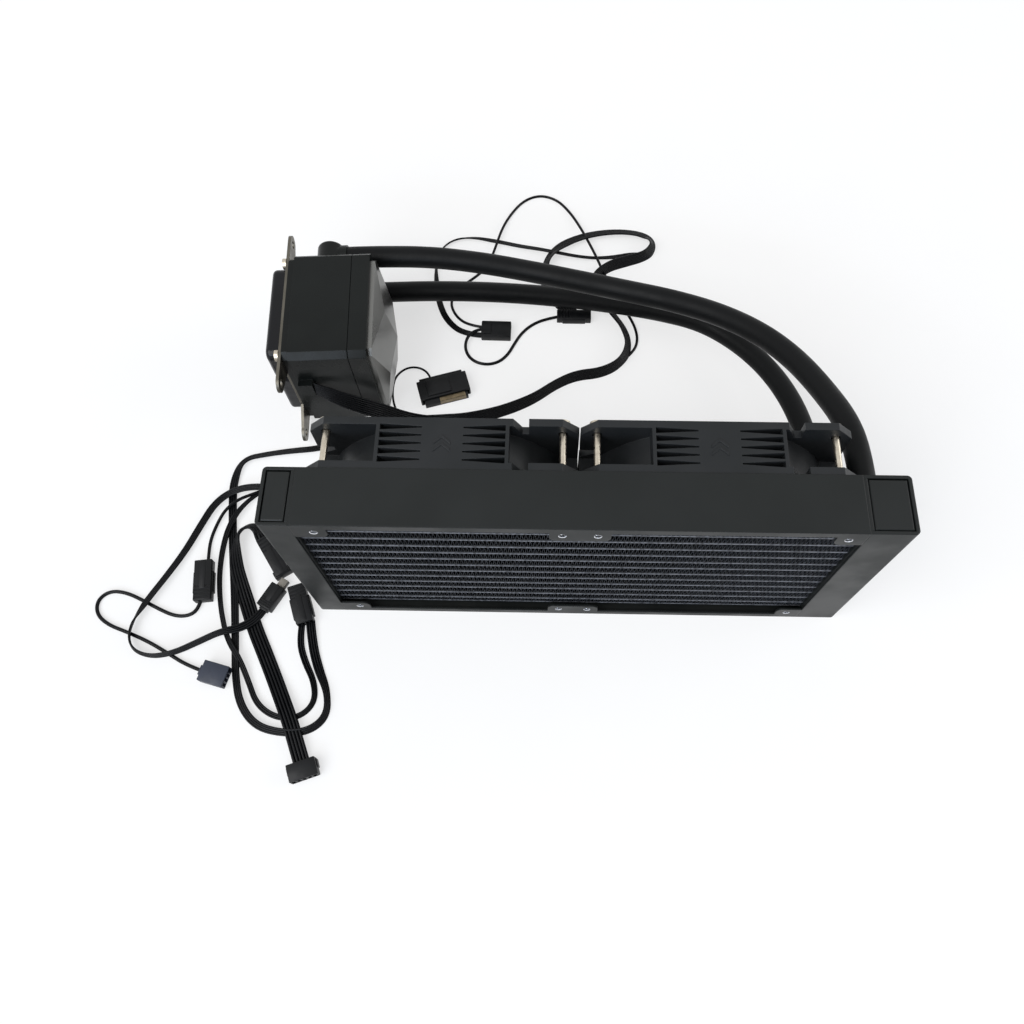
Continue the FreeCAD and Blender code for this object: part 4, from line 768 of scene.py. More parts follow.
@dataclass
class Connector:
    """A moulded connector that lies flat, turned about the vertical.

    Each of the steps gives a block's start, end, half width and top. The pale end, where there is
    one, gives its block's start, end, lower and upper side and top.
    """

    node: str
    middle: tuple[float, float]
    angle: float
    length: float
    width: float
    height: float
    steps: Sequence[tuple[float, float, float, float]] = ()
    columns: int = 3
    rows: int = 1
    opening: End = End.AHEAD
    latch: bool = True
    grips: int = 4
    finish: Finish = NYLON
    round_edge: float = 0.5
    pale_end: Optional[tuple[float, float, float, float, float]] = None
    opening_wall: float = 0.42
    opening_lip: float = 0.04
    opening_depth: float = 2.2
    grip_start: float = 1.2
    grip_share: float = 0.36
    grip_wall: float = 0.12
    grip_depth: float = 0.35
    step_edge: float = 0.4
    latch_share: tuple[float, float] = (0.42, 0.32)
    latch_widest: float = 3.4
    latch_levels: tuple[float, float] = (-0.35, 0.15)
    hook: float = 0.9
    hook_taper: float = 0.55
    latch_edge: float = 0.12
    pale_base: float = 1.2
    pale_edge: float = 0.35

    def spot(self, along: float, across: float, height: float) -> Point:
        """A point given along and across the housing from its middle, and above the surface."""
        return turned((*self.middle, 0), self.angle, along, across, height)

    def place(self) -> Matrix:
        """The matrix from the housing's own axes to the frame."""
        turn = Matrix.Rotation(math.radians(self.angle), 4, "Z")
        return Matrix.Translation(mm((*self.middle, 0))) @ turn

    def body(self) -> Shape:
        """The main block with rounded edges, grip grooves and contact openings."""
        half = self.length / 2
        side = self.width / 2
        shape = Shape.block(self.node + "_shell", (-half, -side, 0), (half, side, self.height))
        shape.soften(self.round_edge)
        self.openings(shape)
        if self.grips:
            self.grooves(shape)
        return shape

    def openings(self, shape: Shape) -> None:
        """Sinks a row of contact openings into the mating face."""
        ahead = self.opening is End.AHEAD
        reach = self.width / 2 if ahead else self.length / 2
        normal = Vector((1, 0, 0)) if ahead else Vector((0, -1, 0))
        edge = self.length / 2 if ahead else self.width / 2

        def mating(middle: Vector, facing: Vector) -> bool:
            """True on the flat mating face."""
            return facing.dot(normal) > FLAT_ON and middle.dot(normal) > edge - CLOSE

        room = reach - self.round_edge
        for n in range(1, self.columns):
            cut = -room + 2 * room * n / self.columns
            spot = (0, cut, 0) if ahead else (cut, 0, 0)
            shape.pick(mating).slice(spot, (0, 1, 0) if ahead else (1, 0, 0)).done()
        for n in range(1, self.rows):
            level = self.round_edge + (self.height - 2 * self.round_edge) * n / self.rows
            shape.pick(mating).slice((0, 0, level), (0, 0, 1)).done()
        shape.pick(mating)
        shape.inset(self.opening_wall, each=True)
        shape.inset(self.opening_lip, -self.opening_depth, each=True).done()

    def grooves(self, shape: Shape) -> None:
        """Sinks grip grooves into the top near the cable end."""
        low = -self.length / 2 + self.grip_start
        high = low + self.length * self.grip_share
        top = self.height - CLOSE

        def on_top(middle: Vector, facing: Vector) -> bool:
            """True on the flat top."""
            return facing.z > FLAT_ON and middle.z > top

        for n in range(2 * self.grips + 1):
            cut = low + (high - low) * n / (2 * self.grips)
            shape.pick(on_top).slice((cut, 0, 0), (1, 0, 0)).done()
        step = (high - low) / (2 * self.grips)
        shape.pick(lambda middle, facing: on_top(middle, facing) and low < middle.x < high
                   and int((middle.x - low) / step) % 2 == 0)
        shape.inset(self.grip_wall, -self.grip_depth, each=True).done()

    def step_blocks(self) -> list[Shape]:
        """The wings, humps and boots that stand out from the main block."""
        blocks = []
        for n, (start, end, side, top) in enumerate(self.steps):
            block = Shape.block(f"{self.node}_step{n}", (start, -side, 0), (end, side, top))
            blocks.append(block.soften(min(self.round_edge, self.step_edge)))
        return blocks

    def latch_bar(self) -> Shape:
        """A springy latch on top with a raised hook."""
        long_share, wide_share = self.latch_share
        reach = self.length * long_share
        side = min(self.width * wide_share, self.latch_widest) / 2
        low, high = (self.height + level for level in self.latch_levels)
        bar = Shape.block(self.node + "_latch", (-reach / 2, -side, low), (reach, side, high))
        bar.pick(lambda middle, facing: facing.x > ROUGHLY_ON)
        bar.extrude((self.hook, 0, 0)).scale((1, 1, self.hook_taper)).done()
        return bar.soften(self.latch_edge)

    def pale_block(self) -> None:
        """The pale contact block that stands out of the mating end."""
        start, end, low, high, top = self.pale_end
        block = Shape.block(self.node + "_contact_block", (start, low, self.pale_base),
                            (end, high, top))
        block.soften(self.pale_edge).tidy().move(self.place())
        block.dress(PALE_NYLON.made(), "plug_plastic")

    def build(self) -> bpy.types.Object:
        """Models the connector.

        Returns:
            The finished piece, which stands for its node.
        """
        shape = self.body()
        extras = self.step_blocks()
        if self.latch:
            extras.append(self.latch_bar())
        shape.join(extras)
        shape.tidy().move(self.place())
        if self.pale_end:
            self.pale_block()
        return shape.dress(self.finish.made(), "plug_plastic", replaces=[self.node])


@dataclass
class PowerConnector(Connector):
    """The wide drive power connector, with a tan blade board in its open long side."""

    blade: tuple[float, float] = (-4, 11.5)
    blade_depth: float = 2.8
    blade_rise: tuple[float, float] = (1.6, 4.8)
    blade_proud: float = 0.15
    contact_count: int = 15
    contact_wall: float = 0.16
    contact_rise: float = 0.12

    def contacts(self) -> bpy.types.Object:
        """The row of tan contacts in the open side."""
        start, end = self.blade
        low, high = self.blade_rise
        face = -self.steps[0][2] - self.blade_proud
        board = Shape.block(self.node + "_contacts", (start, face, low),
                            (end, face + self.blade_depth, high))

        def showing(middle: Vector, facing: Vector) -> bool:
            """True on the front and the top."""
            return facing.y < -ROUGHLY_ON or facing.z > ROUGHLY_ON

        for n in range(1, self.contact_count):
            cut = start + (end - start) * n / self.contact_count
            board.pick(showing).slice((cut, 0, 0), (1, 0, 0)).done()
        board.pick(showing).inset(self.contact_wall, self.contact_rise, each=True).done()
        board.tidy().move(self.place())
        return board.dress(TAN_CONTACT.made(), "plated_screws")


CONNECTORS: dict[str, Connector] = {
    item.node: item for item in (
        PowerConnector("drive_power_plug", (-76.8, 123), 17, 30, 13, 6.4,
                       [(-13, 13, 9, 4.6), (-10, 4, 5.2, 7.4)],
                       columns=1, opening=End.SIDE, latch=False, grips=0),
        Connector("header_plug", (-47, 164.2), -1, 18, 11, 5.6, [(-9, -3, 4.2, 6.4)], columns=5,
                  rows=2, latch=False, grips=0),
        Connector("hub_plug", (0.5, 175.7), 0, 21, 6.6, 5.2, [(-7, 7, 3.9, 4.2)], columns=2,
                  latch=False),
        Connector("light_coupler", (-199.5, 0.5), 97, 23, 9.5, 5.8, [(-7, 5, 5.4, 4.6)], columns=4),
        Connector("loop_coupler", (-185.4, -50.2), -15, 14, 11, 6, [(-8.6, -5, 2.6, 4)], columns=4,
                  finish=SLATE_NYLON, latch=False, grips=0),
        Connector("end_plug", (-133.6, -97.4), -70, 9, 14.5, 6.6, [(-3.5, 1, 7.8, 4.6)], columns=5,
                  latch=False, grips=0),
        Connector("tank_side_plug", (-163.6, 15.1), -56, 25, 8, 6, [(9, 13, 4.8, 5)], columns=3),
        Connector("fan_plug_short", (-161.4, -8.2), 61, 14, 8.4, 6, [(-8.2, -5, 2.4, 4)], columns=3,
                  pale_end=(6.8, 11.8, -2.9, 1.6, 4.6)),
        Connector("fan_plug_long", (-145.1, -12), -70, 22, 9.2, 6.2, [(-4, 8, 5.4, 4.8)], columns=4),
    )
}


# Hoses and cables
@dataclass
class Cord:
    """A hose or a cable along one smooth line; a point without a height rests on the surface."""

    name: str
    points: Sequence[tuple[float, ...]]
    diameter: float
    length: float
    far_end: str
    plugs: Sequence[str] = ()
    stiffness: str = "medium"
    slot: str = "cable_black"
    finish: Finish = CABLE
    line_steps: int = 10
    round_steps: int = 4
    rest: float = 1.0

    def __post_init__(self) -> None:
        """Gives the points that rest on the surface their height."""
        self.points = [(*point, self.rest)[:3] for point in self.points]

    def spline(self, bevel: float) -> bpy.types.Object:
        """Makes the line as a curve.

        Args:
            bevel: radius of the tube round it in millimetres, or 0 for a bare line.

        Returns:
            The curve object.
        """
        data = bpy.data.curves.new(self.name + "_line", "CURVE")
        data.dimensions = "3D"
        data.resolution_u = self.line_steps
        line = data.splines.new("NURBS")
        line.points.add(len(self.points) - 1)
        for point, spot in zip(line.points, self.points):
            point.co = (*mm(spot), 1.0)
        line.order_u = 3
        line.use_endpoint_u = True
        data.bevel_depth = bevel * MM
        data.bevel_resolution = self.round_steps
        data.use_fill_caps = bevel > 0
        return add_object(self.name + "_line", data)

    def declare(self, obj: bpy.types.Object, path: Optional[Sequence[Vector]] = None) -> None:
        """Gives the piece its finish and its body, and hides the node it stands for.

        Args:
            obj: the finished piece.
            path: points along its middle in metres, where it has no curve; not used.
        """
        obj.data.materials.append(self.finish.made())
        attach(obj, "base")
        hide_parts(self.name)
        self.diameter * MM
        [bpy.data.objects[plug + "_shell"] for plug in self.plugs]
        log.info("%s laid, %.0f mm", self.name, self.length)

    def build(self) -> bpy.types.Object:
        """Lays a round cord."""
        obj = self.spline(self.diameter / 2)
        obj.name = self.name + "_cord"
        self.declare(obj)
        return obj


@dataclass
class Hose(Cord):
    """A round hose swept as a mesh, with its own map for the sleeve's lines."""

    around: int = 28

    def line(self) -> list[Vector]:
        """Points of the smooth line, in metres, read from the spline."""
        curve = self.spline(0)
        mesh = bpy.data.meshes.new_from_object(curve)
        spots = [vertex.co.copy() for vertex in mesh.vertices]
        bpy.data.meshes.remove(mesh)
        bpy.data.objects.remove(curve)
        return spots

    @staticmethod
    def ways(spots: Sequence[Vector]) -> list[Vector]:
        """Unit directions of a line at its points."""
        last = len(spots) - 1
        return [(spots[min(n + 1, last)] - spots[max(n - 1, 0)]).normalized()
                for n in range(len(spots))]

    def ring(self, spot: Vector, side: Vector, over: Vector, radius: float) -> list[Vector]:
        """A ring of points.

        Args:
            spot: its middle, in metres.
            side: unit direction of its first point.
            over: unit direction of the point a quarter turn on.
            radius: its radius in metres.

        Returns:
            The points in order.
        """
        turns = (math.tau * n / self.around for n in range(self.around))
        return [spot + (side * math.cos(turn) + over * math.sin(turn)) * radius for turn in turns]

    def sweep(self, sections: Sequence[Sequence[Vector]]) -> bpy.types.Mesh:
        """Skins rings of points into a tube with closed ends.

        Args:
            sections: rings of equal size, one for each step.

        Returns:
            The mesh, with a map of metres along and turns round.
        """
        ring = len(sections[0])
        verts = [spot for section in sections for spot in section]
        faces = []
        for n in range(len(sections) - 1):
            for k in range(ring):
                near, far = n * ring, (n + 1) * ring
                faces.append((near + k, near + (k + 1) % ring, far + (k + 1) % ring, far + k))
        faces.append(tuple(range(ring))[::-1])
        faces.append(tuple(range(len(verts) - ring, len(verts))))
        mesh = bpy.data.meshes.new(self.name + "_cord")
        mesh.from_pydata(verts, [], faces)
        reach = [0.0]
        for before, after in zip(sections, sections[1:]):
            reach.append(reach[-1] + (after[0] - before[0]).length)
        layer = mesh.uv_layers.new(name="along")
        for face in mesh.polygons:
            at_seam = face.loop_total == 4 and any(v % ring == ring - 1 for v in face.vertices)
            for corner, vertex in zip(face.loop_indices, face.vertices):
                step, turn = divmod(vertex, ring)
                if turn == 0 and at_seam:
                    turn = ring
                layer.data[corner].uv = (reach[step], turn / ring)
        return mesh

    def finish_mesh(self, mesh: bpy.types.Mesh) -> Shape:
        """Links a swept mesh as a finished piece with its faces turned out."""
        name = self.name + "_cord"
        shape = Shape(add_object(name, mesh), name).face_out()
        bpy.ops.object.shade_smooth_by_angle(angle=CORD_SMOOTH_EDGE)
        shape.drop()
        return shape

    def build(self) -> bpy.types.Object:
        """Lays the hose along its line."""
        spots = self.line()
        radius = self.diameter / 2 * MM
        sections = []
        side = Vector((0, 0, 1))
        for spot, way in zip(spots, self.ways(spots)):
            side = (side - way * side.dot(way)).normalized()
            sections.append(self.ring(spot, side, way.cross(side), radius))
        shape = self.finish_mesh(self.sweep(sections))
        self.declare(shape.obj, spots)
        return shape.obj


@dataclass
class Ribbon(Hose):
    """A flat cable of wires side by side that turns on edge where it is told to."""

    wires: int = 4
    wire: float = 1.2
    tilts: dict[int, float] = field(default_factory=dict)
    around: int = 8
    steep: float = 0.2

    def tilt(self, part: float) -> float:
        """The turn about the line in degrees, at a share of its points."""
        marks = {0: 0.0, len(self.points) - 1: 0.0, **self.tilts}
        keys = sorted(marks)
        here = part * (len(self.points) - 1)
        for low, high in zip(keys, keys[1:]):
            if here <= high:
                share = (here - low) / (high - low)
                smooth = share * share * (3 - 2 * share)
                return marks[low] + (marks[high] - marks[low]) * smooth
        return marks[keys[-1]]

    def build(self) -> bpy.types.Object:
        """Lays every wire beside the line and joins them into one flat cable."""
        spots = self.line()
        pitch = (self.diameter - self.wire) / max(self.wires - 1, 1) * MM
        half = (self.diameter - self.wire) / 2 * MM
        radius = self.wire / 2 * MM
        up = Vector((0, 0, 1))
        side = Vector((0, 1, 0))
        frames = []
        for n, (spot, way) in enumerate(zip(spots, self.ways(spots))):
            level = up.cross(way)
            side = level if level.length > self.steep else side - way * side.dot(way)
            side.normalize()
            lean = math.radians(self.tilt(n / (len(spots) - 1)))
            flat = side * math.cos(lean) + way.cross(side) * math.sin(lean)
            below = abs(flat.z) * half + radius
            frames.append((spot + up * max(0.0, below - spot.z), flat, way.cross(flat)))
        strands: list[Shape] = []
        for k in range(self.wires):
            offset = (k - (self.wires - 1) / 2) * pitch
            sections = [self.ring(spot + flat * offset, flat, over, radius)
                        for spot, flat, over in frames]
            strands.append(self.finish_mesh(self.sweep(sections)))
        shape = strands[0].join(strands[1:])
        shape.drop()
        self.declare(shape.obj, [spot for spot, _, _ in frames])
        return shape.obj


@dataclass
class Harness:
    """Every hose and cable, with the connectors on them."""

    pump: Point = (-156.3, 135, 34)
    pump_yaw: float = 3.3

    def pump_point(self, along: float, across: float, rise: float) -> Point:
        """A point given along and across the pump's axis, and above its middle."""
        return turned(self.pump, self.pump_yaw, along, across, rise)

    def hoses(self) -> list[Cord]:
        """The two hoses from the pump's elbows to the radiator's stubs."""
        pump = self.pump_point
        return [
            Hose("hose_upper", [
                pump(29, 43.5, 16.5), pump(46, 43.5, 16.5), (-83, 181.6, 50), (-54, 178.8, 49),
                (-25, 173.2, 48.6), (3, 165.6, 50), (29.5, 157, 53), (54, 147.6, 57.5), (77, 136, 62),
                (96.5, 119.5, 68.5), (111, 99.5, 75), (121, 77.5, 81.5), (127.8, 56, 88.5),
                (129.7, 35.5, 92), (129.7, 18.5, 92)], 12, 354, "object", stiffness="stiff",
                slot="hose_rubber", finish=RUBBER),
            Hose("hose_lower", [
                pump(29, 43.5, -16.5), pump(46, 43.5, -16.5), (-88, 183.4, 16), (-60, 184.6, 14.5),
                (-31, 184.2, 13.3), (-3, 181.8, 13), (25, 178, 13.1), (51, 173, 13.4),
                (76, 165.5, 14.2), (96, 150.5, 16), (111.5, 131.5, 18.5), (122, 109.5, 21.5),
                (127.6, 86, 24.5), (129.4, 61.5, 26.8), (129.7, 35.5, 28), (129.7, 18.5, 28)], 12,
                374, "object", stiffness="stiff", slot="hose_rubber", finish=RUBBER),
        ]

    def rear_cables(self) -> list[Cord]:
        """The cables between the pump and the connectors behind the fans."""
        header, hub, drive = (CONNECTORS[name].spot for name in (
            "header_plug", "hub_plug", "drive_power_plug"))
        return [
            Ribbon("pump_ribbon", [
                self.pump_point(11, -36, 7), (-136, 97.6, 38.8), (-128, 96, 35), (-119.5, 95.4, 30.2),
                (-111.5, 95.8, 24.6), (-104.5, 96.9, 17.8), (-98.5, 98.2, 10.8), (-92, 99.3, 5.2),
                (-84.5, 99.9, 2), (-75, 100.3), (-64, 101.3), (-53, 103.7), (-42, 107.2),
                (-31.5, 111.6), (-21.5, 117), (-10, 126), (2, 132.2), (16, 134), (27.5, 140.2),
                (34, 151.5), (32, 165.5), (24, 178), (15.5, 190), (12.5, 202.5), (21, 212.3),
                (34, 217), (45.5, 221), (50.9, 227.6), (50, 235.2), (43.4, 240), (31, 241.8),
                (17, 240.6), (3.5, 236.8), (-8.5, 230), (-16.4, 219.6), (-18.6, 206.5),
                (-14.6, 194.5), (-6.5, 185.6, 1.4), hub(-1.5, 2.5, 2)], 9, 437, "connector",
                ["hub_plug"], wires=8, wire=1.15,
                tilts={0: 80, 1: 62, 3: 36, 6: 25, 8: 35, 10: 60, 12: 72, 15: 80, 18: 78, 19: 66,
                       20: 55, 21: 50, 23: 65, 24: 78, 26: 80, 27: 70, 29: 35, 33: 30, 35: 60,
                       37: 20}),
            Cord("light_lead", [
                (30.75, 145.85), (36.8, 151.3), (39.8, 160), (38, 170.5), (32.4, 182), (26, 193.5, 3),
                (20, 206, 3.4), (15, 220, 3.4), (9.2, 234, 3.4), (3.6, 247, 2.4), (-2.4, 259),
                (-10.6, 269), (-22, 273), (-33, 268), (-41.6, 255.5), (-46.6, 241.5, 3),
                (-50, 227, 3), (-54.4, 213.6), (-63.6, 204), (-73, 196.4), (-76.8, 185.8),
                (-72.6, 175.6), (-64.4, 169, 1.4), header(-8, 3, 2)], 1.7, 287, "connector",
                ["header_plug"]),
            Ribbon("looped_lead", [
                (48.2, 224.3), (39, 225.2), (27.5, 222.8), (15, 221.6), (2.6, 222, 2.2),
                (-9, 223.6, 3.4), (-21, 226.4, 3.4), (-34, 230, 1.6), (-49, 234.2), (-64, 237),
                (-77.4, 235), (-85.6, 226), (-87.4, 213), (-86, 199), (-83.4, 185), (-78, 172.6),
                (-67.4, 162.8), header(-8, -3, 2)], 3.8, 220, "connector", ["header_plug"], wires=4,
                wire=1.0, tilts={3: 30, 8: 20, 10: 55, 12: 70, 14: 10}),
            Cord("header_lead", [
                header(-8, 0, 4.5), (-60, 163.4, 4.2), (-64.6, 158.8, 3.8), (-65.8, 152.4, 2),
                (-63.3, 146.4), (-58, 142.2), (-51, 141), (-44.2, 143.3), (-39.2, 148.8),
                (-35.8, 156), (-32, 163.3), (-26.2, 169.6), (-18, 174, 1.4), hub(-9.5, 0, 2)], 1.9,
                95, "connector", ["hub_plug"]),
            Cord("power_wire", [
                (-98.7, 98.9, 10.6), (-101.5, 103.6, 6), (-104.6, 109.2, 2.6), (-106.8, 116, 1.2),
                (-107.6, 124), (-106.4, 132.4), (-100, 138.4), (-92.3, 138.5), (-86.3, 133.8, 1.4),
                drive(-6, 8, 2)], 1.3, 66, "connector", ["drive_power_plug"]),
        ]

    def fan_cables(self) -> list[Cord]:
        """The cables that leave the fans and lie beside the radiator's end."""
        long_plug, short_plug, tank_plug, end_plug, coupler, loop = (
            CONNECTORS[name].spot for name in ("fan_plug_long", "fan_plug_short", "tank_side_plug",
                                               "end_plug", "light_coupler", "loop_coupler"))
        return [
            Ribbon("fan_lead_long", [
                (-97, 37.5, 13), (-96, 48.5, 8), (-94.4, 61, 2.6), (-95.4, 75), (-101, 87),
                (-112, 91.6), (-124, 90.6), (-136, 86.4), (-148, 82.4), (-162, 80.8), (-176, 78.4),
                (-190, 75), (-193.4, 60.5), (-191.4, 45), (-189, 30), (-186.4, 15), (-183.4, 0),
                (-180.6, -16), (-177.8, -33), (-175.2, -50), (-170.8, -65), (-161, -76),
                (-147, -79.4), (-133.4, -78.4), (-124.8, -70.6), (-126, -58), (-132.4, -46),
                (-137, -33, 1.4), long_plug(10, 2.5, 2)], 5, 386, "connector", ["fan_plug_long"],
                wires=4, wire=1.25,
                tilts={3: 40, 6: 20, 11: 35, 12: 10, 20: 30, 23: 55, 25: 65, 27: 10}),
            Ribbon("fan_lead_second", [
                (-99.5, 37.5, 9), (-102, 45.5, 5), (-109.6, 53, 2), (-121.6, 57.6), (-136, 60),
                (-152, 61.6), (-167.6, 60), (-179, 53, 1.4), (-186, 44, 3.2), (-190.6, 33.6, 3.2),
                (-193, 22, 1.2), (-192.8, 8), (-190.6, -6), (-187, -19.6), (-181.6, -31.8, 3.1),
                (-173.4, -42.4, 3.1), (-167.6, -54), (-162, -65), (-151.6, -71.6), (-139.6, -71.6),
                (-132, -64), (-133.6, -53), (-140, -42.2), (-144, -31.6, 1.4), long_plug(10, -2, 2)],
                3.6, 299, "connector", ["fan_plug_long"], wires=3, wire=1.2,
                tilts={3: 20, 6: 40, 9: 15, 13: 35, 17: 30, 20: 60, 23: 10}),
            Ribbon("sync_ribbon", [
                tank_plug(-11.5, 0, 2.6), (-172.2, 28.6, 2.8), (-177.6, 33.6, 3), (-184, 30.6, 3.1),
                (-185.8, 23, 3.2), (-184, 11.4, 3.2), (-178.4, -2.6, 2.4), (-174, -13),
                (-168.8, -24.8), (-162, -37.4), (-155.2, -50.4), (-148.8, -62.4, 3),
                (-143.2, -73.6, 3.4), (-138.6, -84.8, 3), end_plug(-3.5, 0, 2.4)], 8.4, 154,
                "connector", ["end_plug"], wires=5, wire=1.7, tilts={1: 50, 3: 65, 5: 20, 7: 0}),
            Ribbon("strap_lead", [
                (-104, 37.5, 4.5), (-108, 44.4, 2.6), (-116.8, 49, 1.2), (-130, 51), (-145, 52, 2),
                (-160, 54, 3.6), (-175, 56.4, 5.4), (-189.6, 55.2, 4), (-200.6, 47.4, 3),
                (-207, 33.6, 2), (-213, 18, 2), (-220.4, 2.4, 3.4), (-229, -12.4, 3.4),
                (-235, -26.4, 3.4), (-232, -37.4, 3.4), (-221, -41.8, 3.4), (-208.6, -39.4, 3.4),
                (-197, -33.6, 3.8), (-185.2, -28, 5.4), (-175.6, -25.6, 3.6), (-167.6, -19.9, 3),
                short_plug(-7.4, 0, 2.2)], 4.6, 272, "connector", ["fan_plug_short"], wires=4,
                wire=1.15, tilts={3: 20, 8: 10, 12: 25, 13: 70, 15: 80, 18: 70, 20: 30}),
            Cord("loop_lead", [
                coupler(-10.5, 1.5, 2), (-200.6, -15, 1.4), (-205.2, -18.6), (-212.6, -18.8),
                (-221.6, -15.2), (-231.6, -10.2), (-241.6, -6), (-250.4, -5.4), (-256, -10.6),
                (-254.8, -18.4), (-247.4, -24.2), (-236.4, -28), (-224, -33), (-212, -39.4),
                (-201.6, -45.2), loop(-7.4, 0, 2)], 2.0, 142, "connector", ["loop_coupler"]),
            Cord("coupler_lead", [
                (-173.3, 56.5, 1.2), (-180.6, 53.4, 1.2), (-188, 49, 3.2), (-194.4, 42.6, 3.2),
                (-198.2, 35, 1.4), (-200.4, 26.4), (-200.5, 18.6), coupler(10.5, -1.5, 2)], 1.8, 59,
                "connector", ["light_coupler"]),
        ]

    def build(self) -> None:
        """Models the connectors, then lays every hose and cable."""
        for connector in CONNECTORS.values():
            connector.build()
            if isinstance(connector, PowerConnector):
                connector.contacts()
        for cord in self.hoses() + self.rear_cables() + self.fan_cables():
            cord.build()


# Radiator
@dataclass
class Radiator:
    """The core's dense fins, the bright threads in its lips and its painted shell."""

    core_left: float = -121.7
    core_right: float = 119.5
    half_depth: float = 13.5
    core_half_depth: float = 10.1
    tube_pitch: float = 8.23
    tube_thick: float = 1.9
    tube_count: int = 12
    middle: float = 60
    outer_row: float = 3.885
    waves: int = 126
    crest: float = 0.34
    metal: float = 0.13
    fin_play: float = 0.06
    hole_radius: float = 1.8
    hole_height: float = 7.5
    hole_spots: tuple[float, ...] = (-112.5, -7.5, 7.5, 112.5)
    thread_play: float = 0.02
    thread_turns: int = 4
    thread_pitch: float = 0.28
    thread_taper: float = 0.88
    thread_metal: float = 0.12
    thread_sides: int = 24
    painted: tuple[str, ...] = ("side_plate_upper", "side_plate_lower", "return_tank", "inlet_tank",
                                "tank_end_caps", "header_plate_left", "header_plate_right")

    def fin_row(self, name: str, low: float, height: float) -> Shape:
        """One corrugated strip between two tubes.

        Args:
            name: name of the piece.
            low: height of its lower crests.
            height: from the lower crests to the upper ones.

        Returns:
            The strip, as thick as its metal.
        """
        pitch = (self.core_right - self.core_left) / self.waves
        flat = self.crest / 2
        profile = [(0, 0), (flat, 0), (pitch / 2 - flat, height), (pitch / 2 + flat, height),
                   (pitch - flat, 0), (pitch, 0)]
        Shape.drop()
        bpy.ops.mesh.primitive_grid_add(x_subdivisions=len(profile) - 1, y_subdivisions=1, size=1)
        bpy.ops.transform.resize(value=(pitch * MM, 2 * self.core_half_depth * MM, 1))
        bpy.ops.transform.translate(value=mm((self.core_left + pitch / 2, 0, low)))
        shape = Shape(bpy.context.object, name).settle()
        columns = [self.core_left + pitch * n / (len(profile) - 1) for n in range(len(profile))]
        for column, (reach, rise) in zip(columns, profile):
            shape.pick_edges(lambda a, b, x=column: abs(a.x - x) < CLOSE and abs(b.x - x) < CLOSE)
            bpy.ops.transform.translate(value=mm((self.core_left + reach - column, 0, rise)))
            shape.done()
        shape.modify("ARRAY", count=self.waves, use_relative_offset=False, use_constant_offset=True,
                     constant_offset_displace=(pitch * MM, 0, 0), use_merge_vertices=True,
                     merge_threshold=COPY_MERGE)
        shape.modify("SOLIDIFY", thickness=self.metal * MM, offset=1.0)
        return shape

    def fins(self) -> None:
        """All the strips as one piece."""
        play = self.fin_play
        thick = self.metal + 2 * play
        stack = self.tube_pitch * (self.tube_count - 1) / 2
        edge = stack + self.tube_thick / 2
        inner = self.tube_pitch - self.tube_thick
        outer = self.outer_row - thick
        lowest = self.middle - stack + self.tube_thick / 2 + play
        row = self.fin_row("fin_rows", lowest, inner - thick)
        row.modify("ARRAY", count=self.tube_count - 1, use_relative_offset=False,
                   use_constant_offset=True, constant_offset_displace=(0, 0, self.tube_pitch * MM))
        top = self.fin_row("fin_row_top", self.middle + edge + play, outer)
        bottom = self.fin_row("fin_row_bottom", self.middle - edge - self.outer_row + play, outer)
        row.join([top, bottom]).face_out()
        row.dress(CORE.made(), "core_paint", replaces=["fin_strips"])

    def threads(self) -> None:
        """Bright cut threads in the holes of the bare side's lips."""
        Shape.drop()
        radius = (self.hole_radius - self.thread_play) * MM
        bpy.ops.mesh.primitive_circle_add(vertices=self.thread_sides, radius=radius,
                                          fill_type="NOTHING", location=(0, 0, 0),
                                          rotation=(math.pi / 2, 0, 0))
        ring = Shape(bpy.context.object, "tab_thread").settle()
        ring.pick_edges(lambda a, b: True)
        step = mm((0, self.thread_pitch / 2, 0))
        for _ in range(self.thread_turns):
            for narrow in (self.thread_taper, 1 / self.thread_taper):
                bpy.ops.mesh.extrude_region_move(TRANSFORM_OT_translate={"value": step})
                bpy.ops.transform.resize(value=(narrow, 1, narrow))
        ring.done()
        ring.modify("SOLIDIFY", thickness=self.thread_metal * MM, offset=0.0)
        copies = []
        for x in self.hole_spots:
            for z in (self.hole_height, 2 * self.middle - self.hole_height):
                place = Matrix.Translation(mm((x, -self.half_depth + self.thread_play, z)))
                copies.append(ring.copy(f"tab_thread_{len(copies)}", place))
        spare = ring.obj
        whole = copies[0].join(copies[1:])
        bpy.data.objects.remove(spare)
        whole.obj.name = "tab_threads"
        whole.tidy().dress(THREAD.made(), "plated_screws")

    def build(self) -> None:
        """Dresses the shell and models the core."""
        dress_nodes(POWDER, *self.painted)
        dress_nodes(TUBES, "flat_tubes", "core_guards")
        self.fins()
        self.threads()


# Fans
FAN_PLACES = {"left": -60.0, "right": 60.0}


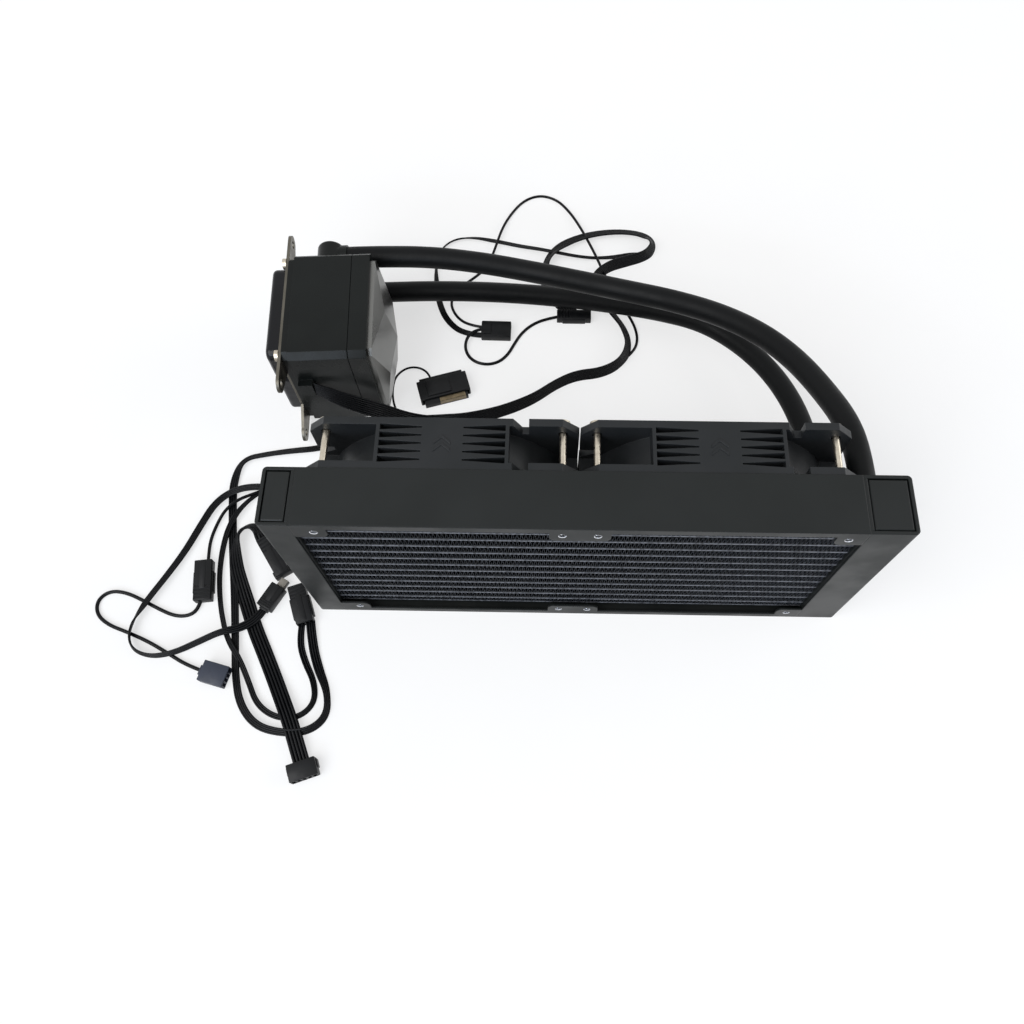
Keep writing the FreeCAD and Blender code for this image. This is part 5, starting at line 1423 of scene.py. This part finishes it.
@dataclass
class Fan:
    """One fan: the finishes of its pieces and the raised airflow arrows on its sides."""

    side: str
    x: float
    start: float = 13.5
    depth: float = 25
    half: float = 59.7
    middle: float = 60
    arrow_width: float = 7.4
    arrow_bar: float = 1.5
    arrow_slope: float = 3.2
    arrow_height: float = 0.3
    arrow_sink: float = 0.2
    arrow_edge: float = 0.1
    arrow_place: float = 0.52
    arrow_step: float = 3.6
    finishes: dict[str, Finish] = field(default_factory=lambda: {
        "frame": FAN_PLASTIC, "rotor": ROTOR_PLASTIC, "shaft": SHAFT, "bearing": BRONZE,
        "stator": WINDINGS})

    def arrow(self, name: str, level: float) -> Shape:
        """A raised chevron on the top panel that points away from the radiator.

        Args:
            name: name of the piece.
            level: distance of its tip from the fan's front.

        Returns:
            The chevron in the fan's own middle, on its top side.
        """
        top = self.half
        wide = self.arrow_width / 2
        arm = Shape.block(name, (0, level - self.arrow_bar, top - self.arrow_sink),
                          (wide, level, top + self.arrow_height))
        arm.pick(lambda middle, facing: facing.x > ROUGHLY_ON)
        bpy.ops.transform.translate(value=mm((0, -self.arrow_slope, 0)))
        arm.done()
        arm.modify("MIRROR", use_axis=(True, False, False), use_clip=True, merge_threshold=COPY_MERGE)
        return arm.soften(self.arrow_edge, 1)

    def arrows(self) -> None:
        """Two chevrons on each of the four sides."""
        level = self.depth * self.arrow_place
        first = self.arrow(f"fan_arrows_{self.side}", level)
        second = self.arrow(f"fan_arrow_second_{self.side}", level + self.arrow_step)
        pair = first.join([second])
        sides = [pair.copy(f"fan_arrows_{self.side}_{n}", Matrix.Rotation(math.pi / 2 * n, 4, "Y"))
                 for n in (1, 2, 3)]
        whole = pair.join(sides)
        whole.tidy().move(Matrix.Translation(mm((self.x, self.start, self.middle))))
        whole.dress(FAN_PLASTIC.made(), "fan_plastic")

    def build(self) -> None:
        """Dresses the fan's pieces and adds the arrows."""
        for piece, finish in self.finishes.items():
            dress_nodes(finish, f"fan_{piece}_{self.side}")
        self.arrows()


# Pump block
@dataclass
class Pump:
    """The pump block with its faceted cap, bracket and covered cold plate."""

    finishes: dict[str, Finish] = field(default_factory=lambda: {
        "pump_base": PUMP_PLASTIC, "pump_housing": PUMP_PLASTIC, "front_ring": PUMP_PLASTIC,
        "elbow_upper": PUMP_PLASTIC, "elbow_lower": PUMP_PLASTIC, "faceted_cap": MIRROR,
        "light_board": BOARD, "pump_stator": WINDINGS, "impeller": IMPELLER, "impeller_shaft": SHAFT,
        "cold_plate": COPPER, "mounting_bracket": STEEL, "cold_plate_cover": SMOKED,
        "bracket_studs": NICKEL})

    def build(self) -> None:
        """Dresses every piece of the pump."""
        for node, finish in self.finishes.items():
            dress_nodes(finish, node)


def main() -> None:
    """Builds the studio, the cords and every sub-assembly."""
    logging.basicConfig(level=logging.INFO, format="%(message)s")
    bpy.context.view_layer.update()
    Studio().build()
    Harness().build()
    Radiator().build()
    for side, x in FAN_PLACES.items():
        Fan(side, x).build()
    dress_nodes(NICKEL, "fan_screws")
    Pump().build()
    Shape.drop()


if __name__ == "__main__":
    main()
